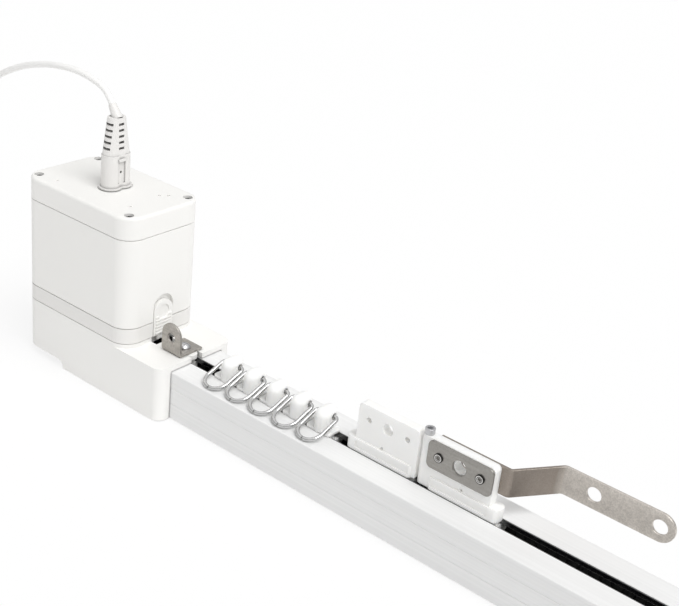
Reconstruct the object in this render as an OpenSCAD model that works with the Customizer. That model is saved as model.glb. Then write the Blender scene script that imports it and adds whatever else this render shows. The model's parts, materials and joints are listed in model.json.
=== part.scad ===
// Electric curtain track, shown lying on its ceiling face with the slot up.
// X runs along the rail from the drive end, Y runs across it and Z points up.
// X = 0 is where the rail comes out of the drive housing, and Z = 0 is the ceiling face.

/* [Rail] */
// Length of rail between the two housings
rail_l = 650; // [560:10:900]
// Outside width of the rail
rail_w = 33; // [31.5:0.5:36]
// Outside height of the rail
rail_h = 25; // [24:0.5:28]
// Thickness of the floor and the side walls
rail_wall = 1.4; // [1.2:0.1:1.8]
// Thickness of the two flanges beside the slot
flange_t = 1.8; // [1.5:0.1:2.2]
// Width of the slot between the flanges
slot_w = 7; // [6.8:0.1:7.6]
// Rounding of the outside edges
rail_edge_r = 0.6; // [0.3:0.1:1]
// Width of the fine grooves along each side
groove_w = 0.6; // [0.5:0.1:1.2]
// Depth of those grooves
groove_d = 0.2; // [0.2:0.1:0.6]
// Length of rail inside each housing
rail_insert = 14; // [11:1:15]
// Thickness of the glide strips under the flanges
strip_t = 0.8; // [0.6:0.1:1]
// Thickness of the strips' lips inside the slot
lip_t = 0.6; // [0.4:0.1:0.7]
// Width of the strips under the flanges
strip_w = 7; // [6:0.5:8]

/* [Drive housing] */
// Length of the neck between the motor and the rail
neck_l = 24; // [22:1:30]
// Height of the neck
neck_h = 28; // [27.8:0.2:30]
// Height of the deck that the motor stands on
deck_h = 30; // [29.4:0.2:32]
// Width of the housing and of the motor
drive_w = 48; // [46:1:52]
// Wall of the housing
housing_wall = 2.2; // [2:0.1:2.6]
// Rounding of the neck's upright edges at the rail
neck_r = 5; // [3:0.5:6]
// Height of the step under the far end
step_h = 4; // [3:0.5:4.5]
// Length of that step
step_l = 30; // [26:1:32]
// Rounding of the far end's lower edge
toe_r = 4; // [2:0.5:5]
// Thickness of the bottom covers
cover_t = 2; // [1.6:0.1:2.4]

/* [Motor] */
// Length of the motor along the rail
motor_l = 75; // [72:1:84]
// Height of the motor above the deck
motor_h = 65; // [62:1:80]
// Rounding of the motor's upright edges
motor_r = 9.5; // [7:0.5:11]
// Height of the base cap
base_cap_h = 8; // [7.5:0.5:10]
// Height of the top cap
top_cap_h = 11; // [10.5:0.5:14]
// Rounding of the top edge
top_edge_r = 1.5; // [0.8:0.1:2]
// Wall of the motor's case
motor_wall = 3; // [2.8:0.1:3.4]
// Visible joint between the caps and the case
seam = 0.4; // [0.2:0.1:0.6]
// Distance of the output axis from the motor's far end
hub_inset = 20.5; // [20.5:0.5:22]
// Outside radius of the bayonet collar
collar_r = 17.4; // [16.5:0.1:17.4]
// Outside radius of the output hub
hub_r = 8.5; // [7.5:0.5:9]
// Width of the release latch
latch_w = 12; // [10:0.5:14]
// Height of the release latch
latch_h = 18; // [16:0.5:20]
// Travel of the release latch
latch_travel = 2.5; // [2:0.5:3]
// Number of grip ribs on the latch
latch_ribs = 6; // [4:1:7]

/* [Belt drive] */
// Width of the toothed belt
belt_w = 9; // [7:0.5:9.5]
// Thickness of the belt's back
belt_back = 1; // [0.8:0.1:1.2]
// Height of the belt's teeth
tooth_h = 1.2; // [0.8:0.1:1.4]
// Pitch of the belt's teeth
tooth_pitch = 5; // [4:0.5:6]
// Height of the belt above the rail's floor
belt_lift = 9; // [8.5:0.5:9.5]
// Radius of the two pulley axles
axle_r = 3; // [2.5:0.25:3.5]
// Outside length of the idler housing
idler_l = 52; // [52:1:60]
// Width of the idler housing
idler_w = 42; // [40:1:46]
// Height of the idler housing
idler_h = 28; // [28:0.5:31]
// Rounding of the idler housing's upright edges
idler_r = 8; // [5:0.5:10]

/* [Runners] */
// Distance of the first runner from the drive housing
runner_x = 22.3; // [16:0.1:24]
// Gap between neighbours in the stack of runners
runner_gap = 0.5; // [0.3:0.1:4]
// Length of a runner's body inside the rail
runner_l = 13.4; // [12:0.2:14]
// Half width of the knob above the slot
knob_r = 3.7; // [3.4:0.1:4]
// Length of the knob across the rail
knob_l = 11.4; // [10:0.2:13]
// Height of the knob above the rail
knob_h = 11; // [10:0.5:13]
// Radius of the ring's hole in the knob
eye_r = 1.6; // [1.3:0.1:1.8]
// Radius of the ring's wire
wire_r = 0.9; // [0.7:0.1:1]
// Outside width of a ring
ring_w = 13.8; // [13:0.1:15.2]
// Length of a ring from its hinge to its front
ring_l = 17.5; // [16:0.5:19]
// Gap between the wire's ends
ring_gap = 0.5; // [0.3:0.1:0.8]
// Radius of all wheels
wheel_r = 4.6; // [4:0.1:4.8]
// Width of one wheel
wheel_w = 4.8; // [4:0.1:5]
// Radius of the wheels' axles
pin_r = 1.2; // [1:0.1:1.4]

/* [Carriers] */
// Gap between the last ring and the trailing carrier's foot
stack_gap = 8.5; // [0.6:0.1:12]
// Gap between the two carriers' upright ends
blade_gap = 0.7; // [0.4:0.1:8]
// Length of a carrier's foot above the slot
carrier_l = 35; // [34:0.5:38]
// Distance of each blade from its carrier's middle, towards the other carrier
blade_shift = 3; // [2:0.5:4.5]
// Width of that foot
foot_w = 7; // [6:0.2:8]
// Height of that foot
foot_h = 6; // [5:0.5:7]
// Length of a carrier's upright blade
blade_l = 32; // [30:0.5:34]
// Length of the screw's pillar at the leading blade's end
pillar_l = 4.5; // [4:0.1:6]
// Thickness of the blade
blade_t = 4.6; // [4:0.2:5]
// Top of the blade above the rail
blade_h = 24; // [23:0.5:26]
// Rounding of the blade's corners
blade_r = 2; // [1:0.5:3]
// Height of the blade's holes above the rail
hole_h = 17.3; // [16.5:0.1:17.5]
// Spacing from the middle hole to the rivets
rivet_pitch = 10.2; // [9:0.1:11]
// Radius of the middle hole
hook_hole_r = 2.75; // [2:0.25:3]
// Radius of the rivets' shanks
rivet_r = 1.3; // [1:0.1:1.5]
// Distance between a carrier's two axles
axle_pitch = 23; // [22:0.5:24]

/* [Steel plates] */
// Thickness of the front plate
plate_t = 1.2; // [1:0.1:1.5]
// Height of the front plate and of the arm
plate_h = 13; // [11:0.5:13]
// Rounding of the front plate's corners
plate_r = 2.5; // [1:0.5:4]
// Thickness of the arm
arm_t = 1.4; // [1.2:0.1:1.6]
// Sideways offset of the arm's free end
arm_offset = 19.6; // [15:0.2:24]
// Angle of the arm's slanted part to the rail
arm_angle = 55; // [40:1:60]
// Length of the arm past the blade, before its first bend
arm_lead = 3; // [1:0.5:5]
// Radius of the arm's two bends
arm_bend_r = 2; // [1.5:0.5:4]
// Length of the arm's free end to the last hole
arm_l = 42; // [38:0.5:50]
// Distance between the arm's two holes
arm_hole_pitch = 29; // [25:0.5:32]
// Radius of those holes
arm_hole_r = 3.3; // [2.5:0.1:3.5]
// Thickness of the end hook
hook_t = 1.2; // [1:0.1:1.5]
// Length of the end hook along the rail
hook_l = 12.5; // [11:0.5:13]
// Width of the end hook across the rail
hook_w = 15; // [14:0.5:17]
// Height of the end hook's tab
hook_h = 16; // [14:0.5:18]
// Radius of the hole in the tab
hook_r = 2.5; // [2:0.1:3]

/* [Power lead] */
// Outside diameter of the cord
cord_d = 3.2; // [3:0.1:4]
// Height of the connector's strain relief above the motor
connector_h = 35; // [32:1:40]
// Turns of the coil in each layer
coil_turns = 2; // [1:1:3]
// Layers of the coil
coil_layers = 4; // [2:2:4]

/* [Hidden] */
$fn = 64;
hull_fn = 32;
eps = 0.01;
joint_gap = 0.15;
fit_gap = 0.05;
seat_gap = 0.2;
rail_gap = 0.35;
run_gap = 0.35;

// Heights inside the rail
flange_z = rail_h - flange_t;
strip_z = flange_z - strip_t;
wheel_z = strip_z - joint_gap - wheel_r;
belt_z = rail_wall + belt_lift;
rail_in = rail_w / 2 - rail_wall;
clear_slot = slot_w - 2 * lip_t;
neck_y = clear_slot - 1.2;

// Belt loop, set by what passes beside it in the rail
jaw_t = 0.9;
belt_y = rail_in - run_gap - jaw_t - run_gap - belt_back / 2;
root_r = belt_y - belt_back / 2;
tip_r = root_r - tooth_h;
arc_teeth = round(PI * belt_y / tooth_pitch);
flange_r = belt_y + belt_back / 2 + 1;
pulley_r = tip_r - 0.3;
pulley_flange_t = 1.2;

// Places along the rail
motor_x1 = -neck_l;
motor_x0 = -neck_l - motor_l;
motor_x = (motor_x0 + motor_x1) / 2;
hub_x = motor_x0 + hub_inset;
idler_x = rail_l + rail_insert + flange_r + 2;
run_teeth = round((idler_x - hub_x) / tooth_pitch);
run_pitch = (idler_x - hub_x) / run_teeth;

// Heights of the drive unit
case_z0 = deck_h + base_cap_h + seam;
case_z1 = deck_h + motor_h - top_cap_h - seam;
motor_top = deck_h + motor_h;
cap_floor = 2.5;
cavity_top = neck_h - housing_wall;
hub_z0 = cavity_top - 0.6;
hub_z1 = deck_h + cap_floor + 1;

// Carrier parts that fit each other
block_w = 8.8;
block_drop = 3.6;
wheel_in = block_w / 2 + 0.4;
runner_count = 5;
runner_pitch = max(ring_w, runner_l) + runner_gap;
function runner_at(i) = runner_x + (i - 1) * runner_pitch;
trailing_x = runner_at(runner_count) + ring_w / 2 + stack_gap + carrier_l / 2;
leading_x = trailing_x + 2 * blade_shift + blade_l + pillar_l + blade_gap;
blade_x = leading_x - blade_shift;
blade_y0 = -blade_t + 2;
hole_z = rail_h + hole_h;
foot_z = rail_h + 0.35;
clamp_l = 9;
tongue_l = 1.4;
tongue_h = 2.3;
tongue_z = wheel_z - 4.4;
pillar_x = blade_shift + blade_l / 2 + pillar_l - blade_t / 2;
rivet_head_r = 2.1;
rivet_head_t = 0.6;
tip_screw_r = 1.3;

// Rings lie on the rail top and hinge in the knobs, behind their round fronts
knob_front = 4.9;
knob_ends = [knob_r - knob_front, knob_l - knob_r - knob_front];
base_w = 9;
base_t = 1.2;
base_l = runner_pitch - 0.6;
eye_y = 2.2;
eye_z = rail_h + 7;
ring_drop = asin((eye_z - rail_h - wire_r - 0.3) / ring_l);
ring_half = ring_w / 2 - wire_r;
ring_corner = ring_half - knob_r - 0.3;

// Route of the power cord from the connector to the coil
connector_x = motor_x + 1.5;
cord_r = cord_d / 2;
tip_l = 6;
tip_lean = 33.4;
tip_way = [-sin(tip_lean), 0, cos(tip_lean)];
cord_exit = [connector_x, 0, motor_top + connector_h] + tip_l * tip_way;
cord_points = [
    cord_exit + fit_gap * tip_way, cord_exit + 1.5 * tip_way,
    [-65.9, 0, 138.4], [-68.1, 0, 140.3], [-70.6, 0, 141.7], [-73, 0, 142.5], [-78.5, -0.2, 143.7],
    [-85, -0.4, 144.6], [-92, -0.7, 144.7], [-101, -1, 143.9], [-108, -1, 142.7],
    [-115, -1.3, 141.1], [-125, -1.5, 138],
    [-135, -2, 133.7], [-145, -2, 128.3], [-154.5, -2, 121.7], [-162.5, -2, 114], [-168.5, -2, 105],
    [-172.5, -2, 95], [-174.5, -2, 84.5], [-175.3, -2, 73.5], [-175.5, -2, 62.5], [-175.8, -2, 52],
    [-177, -2, 42], [-179.8, -2, 32.7], [-184.5, -2, 24.2], [-190.5, -2, 18.2], [-197, -2, 15],
    [-202, -2, 14.3], [-206, -2, 14.3]
];

// Coil of the spare cord, wound inwards and outwards by turns
coil_pitch = cord_d + 1.1;
coil_rise = cord_d + 0.7;
coil_in = 15.3;
coil_out = coil_in + coil_turns * coil_pitch;
coil_z = cord_points[len(cord_points) - 1][2] - (coil_layers - 1) * coil_rise;
coil_x = cord_points[len(cord_points) - 1][0] - cord_d;
coil_y = cord_points[len(cord_points) - 1][1] - coil_out;
coil_steps = 24;
layer_turns = coil_turns + 0.5;
coil_all = coil_layers * layer_turns - 0.5;

// Plug beside the coil, on the same floor
plug_z = 7;
plug_x = coil_x + 26;
plug_y = coil_y - coil_out;
lead_points = [
    [coil_x + cord_d, plug_y, coil_z], [coil_x + 8, plug_y, coil_z],
    [coil_x + 13, plug_y, coil_z + 1.2], [coil_x + 18, plug_y, plug_z - 1.2],
    [coil_x + 22, plug_y, plug_z], [plug_x, plug_y, plug_z]
];

// Common shapes

// A rectangle from x0 to x1 about the rail's middle line, with round corners
module plan(x0, x1, w, r) {
    translate([x0 + r, -w / 2]) square([x1 - x0 - 2 * r, w]);
    translate([x0, -w / 2 + r]) square([x1 - x0, w - 2 * r]);
    for (x = [x0 + r, x1 - r], y = [-w / 2 + r, w / 2 - r]) translate([x, y]) circle(r);
}

module slab(x0, x1, w, r, z0, z1) {
    translate([0, 0, z0]) linear_extrude(z1 - z0) plan(x0, x1, w, r);
}

// A box from one corner to the other
module box(low, high) {
    translate(low) cube(high - low);
}

// Draws a cross-section in Y and Z along the rail
module along_x(x0, x1) {
    translate([x0, 0, 0]) rotate([90, 0, 90]) linear_extrude(x1 - x0) children();
}

// Draws an outline in X and Z through a thickness in Y
module across_y(y0, y1) {
    translate([0, y1, 0]) rotate([90, 0, 0]) linear_extrude(y1 - y0) children();
}

module pin_y(r, y0, y1) {
    translate([0, y0, 0]) rotate([-90, 0, 0]) cylinder(r = r, h = y1 - y0);
}

module pin_z(r, z0, z1) {
    translate([0, 0, z0]) cylinder(r = r, h = z1 - z0);
}

// A tube skin through rings of points, closed at both ends
module tube(rings) {
    n = len(rings[0]);
    last = len(rings) - 1;
    faces = concat(
        [for (i = [1 : n - 2]) [0, i, i + 1]],
        [for (i = [1 : n - 2]) [last * n, last * n + i + 1, last * n + i]],
        [for (k = [0 : last - 1], i = [0 : n - 1]) [k * n + i, (k + 1) * n + i, k * n + (i + 1) % n]],
        [for (k = [0 : last - 1], i = [0 : n - 1])
            [k * n + (i + 1) % n, (k + 1) * n + i, (k + 1) * n + (i + 1) % n]]
    );
    polyhedron(points = [for (ring = rings) each ring], faces = faces, convexity = 10);
}

function unit(v) = v / norm(v);
function heading(p, i) = unit(p[min(i + 1, len(p) - 1)] - p[max(i - 1, 0)]);

// Rings of a cord that runs close to the X-Z plane
function cord_rings(p, r, sides) = [
    for (i = [0 : len(p) - 1])
        let (t = heading(p, i), s = unit(cross(t, [0, 1, 0])), b = cross(s, t))
        [for (k = [0 : sides - 1]) p[i] + r * (cos(360 * k / sides) * s + sin(360 * k / sides) * b)]
];

// Rail and glide strips

module rail_outline(grow) {
    w = rail_w + 2 * grow;
    r = rail_edge_r + grow;
    translate([-w / 2 + r, -grow]) square([w - 2 * r, rail_h + 2 * grow]);
    translate([-w / 2, -grow + r]) square([w, rail_h + 2 * grow - 2 * r]);
    for (y = [-1, 1], z = [-grow + r, rail_h + grow - r]) translate([y * (w / 2 - r), z]) circle(r);
}

module rail_bore() {
    translate([-rail_in, rail_wall]) square([2 * rail_in, flange_z - rail_wall]);
}

module rail() color("gainsboro") along_x(-rail_insert, rail_l + rail_insert) difference() {
    rail_outline(0);
    rail_bore();
    translate([-slot_w / 2, flange_z - eps]) square([slot_w, flange_t + 1]);
    for (side = [-1, 1], z = [rail_h / 3, 2 * rail_h / 3])
        translate([side * rail_w / 2 - groove_d, z - groove_w / 2]) square([2 * groove_d, groove_w]);
}

// An L of nylon: a lip inside the slot and a flat track under the flange
module glide_strip(side) color([0.05, 0.05, 0.05]) along_x(-rail_insert, rail_l + rail_insert)
    mirror([side < 0 ? 1 : 0, 0]) {
        translate([clear_slot / 2, strip_z]) square([strip_w, strip_t]);
        translate([clear_slot / 2, flange_z - eps]) square([lip_t, flange_t - 0.15]);
    }

// Drive housing

cover_x0 = motor_x0 + step_l + 4;
cover_x1 = -rail_insert - 4;
cover_w = drive_w - 2 * housing_wall - 4;
cover_ledge = 4.2;
screw_r = 1.1;
head_r = 2;
head_h = 1.2;
head_sink = 0.8;
notch_l = 3.5;
notch_w = latch_w + 2;
bolt_w = 6;
bolt_t = 1.6;
lug_t = 1.6;
lug_r = collar_r + 1.6;
lug_count = 3;
lug_angle = 26;
lug_turn = 10;

cover_inset = 2.6;
cover_spots = [
    for (x = [cover_x0 + cover_inset, cover_x1 - cover_inset], y = [-1, 1])
        [x, y * (cover_w / 2 - cover_inset)]
];

module holes(spots, r, z0, z1) {
    for (p = spots) translate(p) pin_z(r, z0, z1);
}

// A sector of a ring about the output axis
module lugs(r0, r1, z0, z1, angle, turn) {
    for (i = [0 : lug_count - 1])
        rotate([0, 0, i * 360 / lug_count + turn]) translate([0, 0, z0])
            rotate_extrude(angle = angle) translate([r0, 0]) square([r1 - r0, z1 - z0]);
}

module drive_housing() color("white") difference() {
    union() {
        slab(motor_x0, motor_x1, drive_w, motor_r, 0, deck_h);
        linear_extrude(neck_h) {
            plan(motor_x, 0, drive_w, neck_r);
            plan(motor_x0, motor_x1, drive_w, motor_r);
        }
    }
    // Hollow over the cover, and over the stepped end with its own floor
    slab(motor_x0 + housing_wall, -rail_insert - 2, drive_w - 2 * housing_wall, motor_r - housing_wall,
        step_h + housing_wall, cavity_top);
    slab(cover_x0 + cover_ledge, cover_x1 - cover_ledge, cover_w - 2 * cover_ledge, 2,
        -1, step_h + housing_wall + 1);
    slab(cover_x0 - joint_gap, cover_x1 + joint_gap, cover_w + 2 * joint_gap, 3, -1, cover_t);
    holes(cover_spots, screw_r + fit_gap, cover_t - eps, cover_t + 4);
    // Pocket for the rail's end, and the way through its shoulder
    along_x(-rail_insert - seat_gap, 1) rail_outline(rail_gap);
    along_x(-rail_insert - 3, -rail_insert) rail_bore();
    // Step under the far end, with a round inner corner and a round toe
    box([motor_x0 - 1, -drive_w, -1], [motor_x0 + step_l - step_h, drive_w, step_h]);
    translate([motor_x0 + step_l - step_h, 0, 0]) pin_y(step_h, -drive_w, drive_w);
    across_y(-drive_w, drive_w) difference() {
        translate([motor_x0 - 1, step_h - 1]) square(toe_r + 1);
        translate([motor_x0 + toe_r, step_h + toe_r]) circle(toe_r);
    }
    // Mouth for the bayonet collar
    translate([hub_x, 0, 0]) {
        pin_z(collar_r + joint_gap, cavity_top - 1, deck_h + 1);
        lugs(collar_r - 1, lug_r + joint_gap, cavity_top - 1, deck_h + 1, lug_angle + 4, lug_turn + 65);
    }
    // Slot in line with the rail's slot, and the latch's pocket at its end
    box([motor_x1 + notch_l - 1, -slot_w / 2, rail_h - 1], [1, slot_w / 2, neck_h + 1]);
    box([motor_x1 - bolt_t - 1, -notch_w / 2, cavity_top - 1], [motor_x1 + notch_l, notch_w / 2, deck_h + 1]);
    // Seat of the drive axle
    translate([hub_x, 0, 0]) pin_z(axle_r + fit_gap, step_h + 0.5, step_h + housing_wall + 1);
}

module drive_cover() color("white") difference() {
    slab(cover_x0, cover_x1, cover_w, 3 - joint_gap, 0, cover_t);
    holes(cover_spots, screw_r + fit_gap, -1, cover_t + 1);
    holes(cover_spots, head_r + seat_gap, -1, head_h - 0.2);
}

module drive_axle() color("silver") translate([hub_x, 0, 0]) {
    pin_z(axle_r, step_h + 0.5, belt_z + belt_w);
    pin_z(axle_r + 2, step_h + housing_wall, belt_z - 0.4 - pulley_flange_t - 0.2);
}

// Belt drive

// A toothed wheel between two flanges, with a blind or open bore
module pulley(bore_top) difference() {
    union() {
        difference() {
            pin_z(pulley_r, belt_z - 0.6, belt_z + belt_w + 0.6);
            for (i = [0 : 2 * arc_teeth - 1])
                rotate([0, 0, (i + 0.5) * 180 / arc_teeth])
                    box([pulley_r - tooth_h, -1.4, belt_z - 0.4], [pulley_r + 1, 1.4, belt_z + belt_w + 0.4]);
        }
        pin_z(flange_r, belt_z - 0.4 - pulley_flange_t, belt_z - 0.4);
        pin_z(flange_r, belt_z + belt_w + 0.4, belt_z + belt_w + 0.4 + pulley_flange_t);
    }
    pin_z(axle_r + fit_gap, 0, bore_top);
}

// Six splines that enter the motor's hub
module spline(r, z0, z1) {
    pin_z(r - 1, z0, z1);
    for (i = [0 : 5]) rotate([0, 0, 60 * i]) box([0, -0.9, z0], [r, 0.9, z1]);
}

module drive_pulley() color("whitesmoke") translate([hub_x, 0, 0]) {
    pulley(belt_z + belt_w + 0.3);
    pin_z(hub_r - 2.2, belt_z + belt_w + 0.4, hub_z0 - 0.4);
    spline(hub_r - 2.5, hub_z0 - 0.4 - eps, hub_z1 - 1.6);
}

function polar(r, a) = [r * cos(a), r * sin(a)];
// Half widths of a tooth at its root and its tip
tooth_root = 0.26 * tooth_pitch;
tooth_tip = 0.18 * tooth_pitch;
function arc_tooth(x, a) = let (k = 180 / PI / belt_y) [
    for (q = [[root_r, -tooth_root], [tip_r, -tooth_tip], [tip_r, tooth_tip], [root_r, tooth_root]])
        [x, 0] + polar(q[0], a + q[1] * k)
];
function run_tooth(x, side) = [
    for (q = [[-tooth_root, root_r], [-tooth_tip, tip_r], [tooth_tip, tip_r], [tooth_root, root_r]])
        [x - side * q[0], side * q[1]]
];
function belt_inside() = concat(
    [for (i = [0 : arc_teeth - 1]) each arc_tooth(idler_x, -90 + (i + 0.5) * 180 / arc_teeth)],
    [for (i = [0 : run_teeth - 1]) each run_tooth(idler_x - (i + 0.5) * run_pitch, 1)],
    [for (i = [0 : arc_teeth - 1]) each arc_tooth(hub_x, 90 + (i + 0.5) * 180 / arc_teeth)],
    [for (i = [0 : run_teeth - 1]) each run_tooth(hub_x + (i + 0.5) * run_pitch, -1)]
);
function belt_outside() = concat(
    [for (a = [-90 : 7.5 : 90]) [idler_x, 0] + polar(belt_y + belt_back / 2, a)],
    [for (a = [90 : 7.5 : 270]) [hub_x, 0] + polar(belt_y + belt_back / 2, a)]
);

module drive_belt() color([0.06, 0.06, 0.06]) translate([0, 0, belt_z]) {
    outside = belt_outside();
    inside = belt_inside();
    linear_extrude(belt_w) polygon(
        points = concat(outside, inside),
        paths = [[for (i = [0 : len(outside) - 1]) i], [for (i = [0 : len(inside) - 1]) len(outside) + i]]
    );
}

// Motor

post_r = head_r + 1.2;
post_l = 12;
lip_w = 1.2;
recess_w = latch_w + 0.6;
recess_d = 1.8;
latch_z0 = deck_h + 0.5;
latch_arch = recess_w / 2;
latch_proud = 0.3;
rib_pitch = 1.7;

cap_screws = [
    for (x = [motor_x0 + 5.5, motor_x1 - 5.5], y = [-1, 1]) [x, y * (drive_w / 2 - 5.5)]
];

// Room that the latch slides in, round at the top
module latch_room() {
    top = latch_z0 + latch_h + latch_travel + 0.4;
    translate([motor_x1 - recess_d, 0, 0]) {
        box([0, -recess_w / 2, deck_h - 1], [recess_d + 1, recess_w / 2, top - latch_arch]);
        translate([0, 0, top - latch_arch]) rotate([0, 90, 0]) cylinder(r = latch_arch, h = recess_d + 1);
    }
}

// The motor's outline, drawn in by an inset
module inner_slab(inset, z0, z1) {
    slab(motor_x0 + inset, motor_x1 - inset, drive_w - 2 * inset, motor_r - inset, z0, z1);
}

module motor_shell(z0, z1) difference() {
    inner_slab(0, z0, z1);
    inner_slab(motor_wall, z0 - 1, z1 + 1);
}

// A lip inside the walls that lines two shells up
module shell_lip(z0, z1) difference() {
    inner_slab(motor_wall + joint_gap, z0, z1);
    inner_slab(motor_wall + joint_gap + lip_w, z0 - 1, z1 + 1);
}

module motor_base_cap() color("whitesmoke") difference() {
    union() {
        motor_shell(deck_h + seam, deck_h + base_cap_h);
        inner_slab(1, deck_h, deck_h + cap_floor);
        shell_lip(deck_h + cap_floor - eps, deck_h + base_cap_h + 3);
        translate([hub_x, 0, 0]) {
            pin_z(collar_r, cavity_top - lug_t - 0.2, deck_h + eps);
            lugs(collar_r - 0.5, lug_r, cavity_top - lug_t - 0.2, cavity_top - 0.2, lug_angle, lug_turn);
        }
        for (p = cap_screws) translate(p) pin_z(post_r, deck_h, deck_h + base_cap_h);
    }
    translate([hub_x, 0, 0]) {
        pin_z(collar_r - 3, cavity_top - 3, deck_h - 1.2);
        pin_z(hub_r + 0.3, cavity_top - 3, deck_h + cap_floor + 1);
    }
    for (p = cap_screws) translate(p) {
        pin_z(screw_r + fit_gap, deck_h - 1, deck_h + base_cap_h + 1);
        pin_z(head_r + 0.2, deck_h - 1, deck_h + head_h + 0.3);
        // Room beside the case's posts
        pin_z(post_r + seat_gap, deck_h + base_cap_h, deck_h + base_cap_h + 4);
    }
    latch_room();
}

module motor_case() color("whitesmoke") difference() {
    union() {
        motor_shell(case_z0, case_z1);
        for (p = cap_screws) translate(p) {
            pin_z(post_r, case_z0, case_z0 + post_l);
            pin_z(post_r, case_z1 - post_l, case_z1);
        }
    }
    for (p = cap_screws) translate(p) pin_z(screw_r + fit_gap, case_z0 - 1, case_z1 + 1);
    latch_room();
}

// Half of a section with a round upper edge
module soft_profile(half, h, r) {
    square([half, h - r]);
    square([half - r, h]);
    translate([half - r, h - r]) circle(r);
}

// The motor's outline with a round upper edge
module soft_block(h) {
    r = top_edge_r;
    for (x = [motor_x0 + motor_r, motor_x1 - motor_r], y = [-1, 1])
        translate([x, y * (drive_w / 2 - motor_r), 0]) rotate_extrude() soft_profile(motor_r, h, r);
    along_x(motor_x0 + motor_r, motor_x1 - motor_r)
        for (m = [0, 1]) mirror([m, 0]) soft_profile(drive_w / 2, h, r);
    translate([motor_x, 0, 0]) across_y(-drive_w / 2 + motor_r, drive_w / 2 - motor_r)
        for (m = [0, 1]) mirror([m, 0]) soft_profile(motor_l / 2, h, r);
}

// Outline of a two-pole appliance connector
lobe_r = 4.7;
lobe_y = 3.1;
module figure_eight(grow) {
    for (y = [-1, 1]) translate([0, y * lobe_y]) circle(lobe_r + grow);
    translate([-lobe_r - grow + 0.8, -lobe_y]) square([2 * (lobe_r + grow - 0.8), 2 * lobe_y]);
}

vent_holes = [[motor_x0 + 17, -17], [motor_x1 - 13, -11], [motor_x1 - 15, 9], [motor_x1 - 12.5, 12.5]];
inlet_h = 12;
inlet_wall = 1.2;

module motor_top_cap() color("white") difference() {
    union() {
        difference() {
            translate([0, 0, motor_top - top_cap_h]) soft_block(top_cap_h);
            inner_slab(motor_wall, motor_top - top_cap_h - 1, motor_top - cap_floor);
        }
        for (p = cap_screws) translate(p) pin_z(post_r, motor_top - top_cap_h, motor_top - 1);
    }
    translate([connector_x, 0, motor_top - cap_floor - 1]) linear_extrude(cap_floor + 2)
        figure_eight(inlet_wall + joint_gap);
    for (p = cap_screws) translate(p) {
        pin_z(screw_r + fit_gap, motor_top - top_cap_h - 1, motor_top + 1);
        pin_z(head_r + 0.3, motor_top - head_h - head_sink, motor_top + 1);
    }
    for (p = vent_holes) translate(p) pin_z(0.8, motor_top - 1, motor_top + 1);
}

// Sliding latch with grip ribs, and the bolt that enters the deck's pocket
module release_latch() color("white") {
    x0 = motor_x1 - recess_d + joint_gap;
    x1 = motor_x1 + latch_proud;
    r = latch_w / 2;
    arch_z = latch_z0 + latch_h - r;
    difference() {
        union() {
            box([x0, -r, latch_z0], [x1, r, arch_z]);
            translate([x0, 0, arch_z]) rotate([0, 90, 0]) cylinder(r = r, h = x1 - x0);
            for (i = [0 : latch_ribs - 1]) translate([0, 0, latch_z0 + 1 + rib_pitch * i])
                box([motor_x1, -r + 1, 0], [x1 + 0.6, r - 1, rib_pitch / 2]);
        }
        translate([motor_x1 - latch_proud, 0, arch_z]) rotate([0, 90, 0]) cylinder(r = r - 2.4, h = 2);
    }
    box([x0, -bolt_w / 2, deck_h - 2.2], [x0 + bolt_t - 0.2, bolt_w / 2, latch_z0 + eps]);
}

// Red hub with a star-shaped socket for the pulley's splines
module output_hub() color([0.75, 0.05, 0.08]) translate([hub_x, 0, 0]) difference() {
    union() {
        pin_z(hub_r, hub_z0, hub_z1);
        pin_z(axle_r, hub_z1 - eps, hub_z1 + 4);
    }
    spline(hub_r - 2.5 + 0.25, hub_z0 - 1, hub_z1 - 1.3);
}

gear_z1 = hub_z1 + 17;
gear_r = 15;
can_r = 14;

module planetary_gearbox() color("dimgray") translate([hub_x, 0, 0]) difference() {
    union() {
        pin_z(gear_r, deck_h + cap_floor, gear_z1);
        for (z = [hub_z1 + 4, hub_z1 + 12]) pin_z(gear_r + 0.8, z, z + 2);
    }
    pin_z(hub_r + 0.5, deck_h, hub_z1 + 0.3);
    pin_z(axle_r + fit_gap, hub_z1 - 1, hub_z1 + 4.2);
}

module dc_motor() color("silver") translate([hub_x, 0, 0]) {
    pin_z(can_r, gear_z1, case_z1 - 6);
    pin_z(6, case_z1 - 6 - eps, case_z1 - 3);
    for (y = [-9, 9]) box([-1.5, y - 0.4, case_z1 - 6 - eps], [1.5, y + 0.4, case_z1 - 1]);
}

board_x = hub_x + gear_r + 14;
board_t = 1.6;
capacitor_r = 5;
capacitor_h = 11;
relay = [8.4, 12, 14];
chip = [2.4, 26, 8];
header = [5, 16, 6];

// Upright board with its largest parts
module control_board() color("seagreen") {
    half = drive_w / 2 - motor_wall - lip_w - joint_gap - 0.2;
    face = board_x + board_t - eps;
    box([board_x, -half, deck_h + cap_floor + 0.2], [board_x + board_t, half, case_z1 - 4]);
    translate([face, -capacitor_r - 3, case_z1 - 22]) rotate([0, 90, 0])
        cylinder(r = capacitor_r, h = capacitor_h);
    translate([face, 2, case_z1 - 2 * relay[2]]) cube(relay);
    translate([face, -chip[1] / 2, deck_h + 2 * chip[2]]) cube(chip);
    translate([board_x - header[0], -10, case_z1 - 2 * header[2]]) cube(header + [eps, 0, 0]);
}

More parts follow.
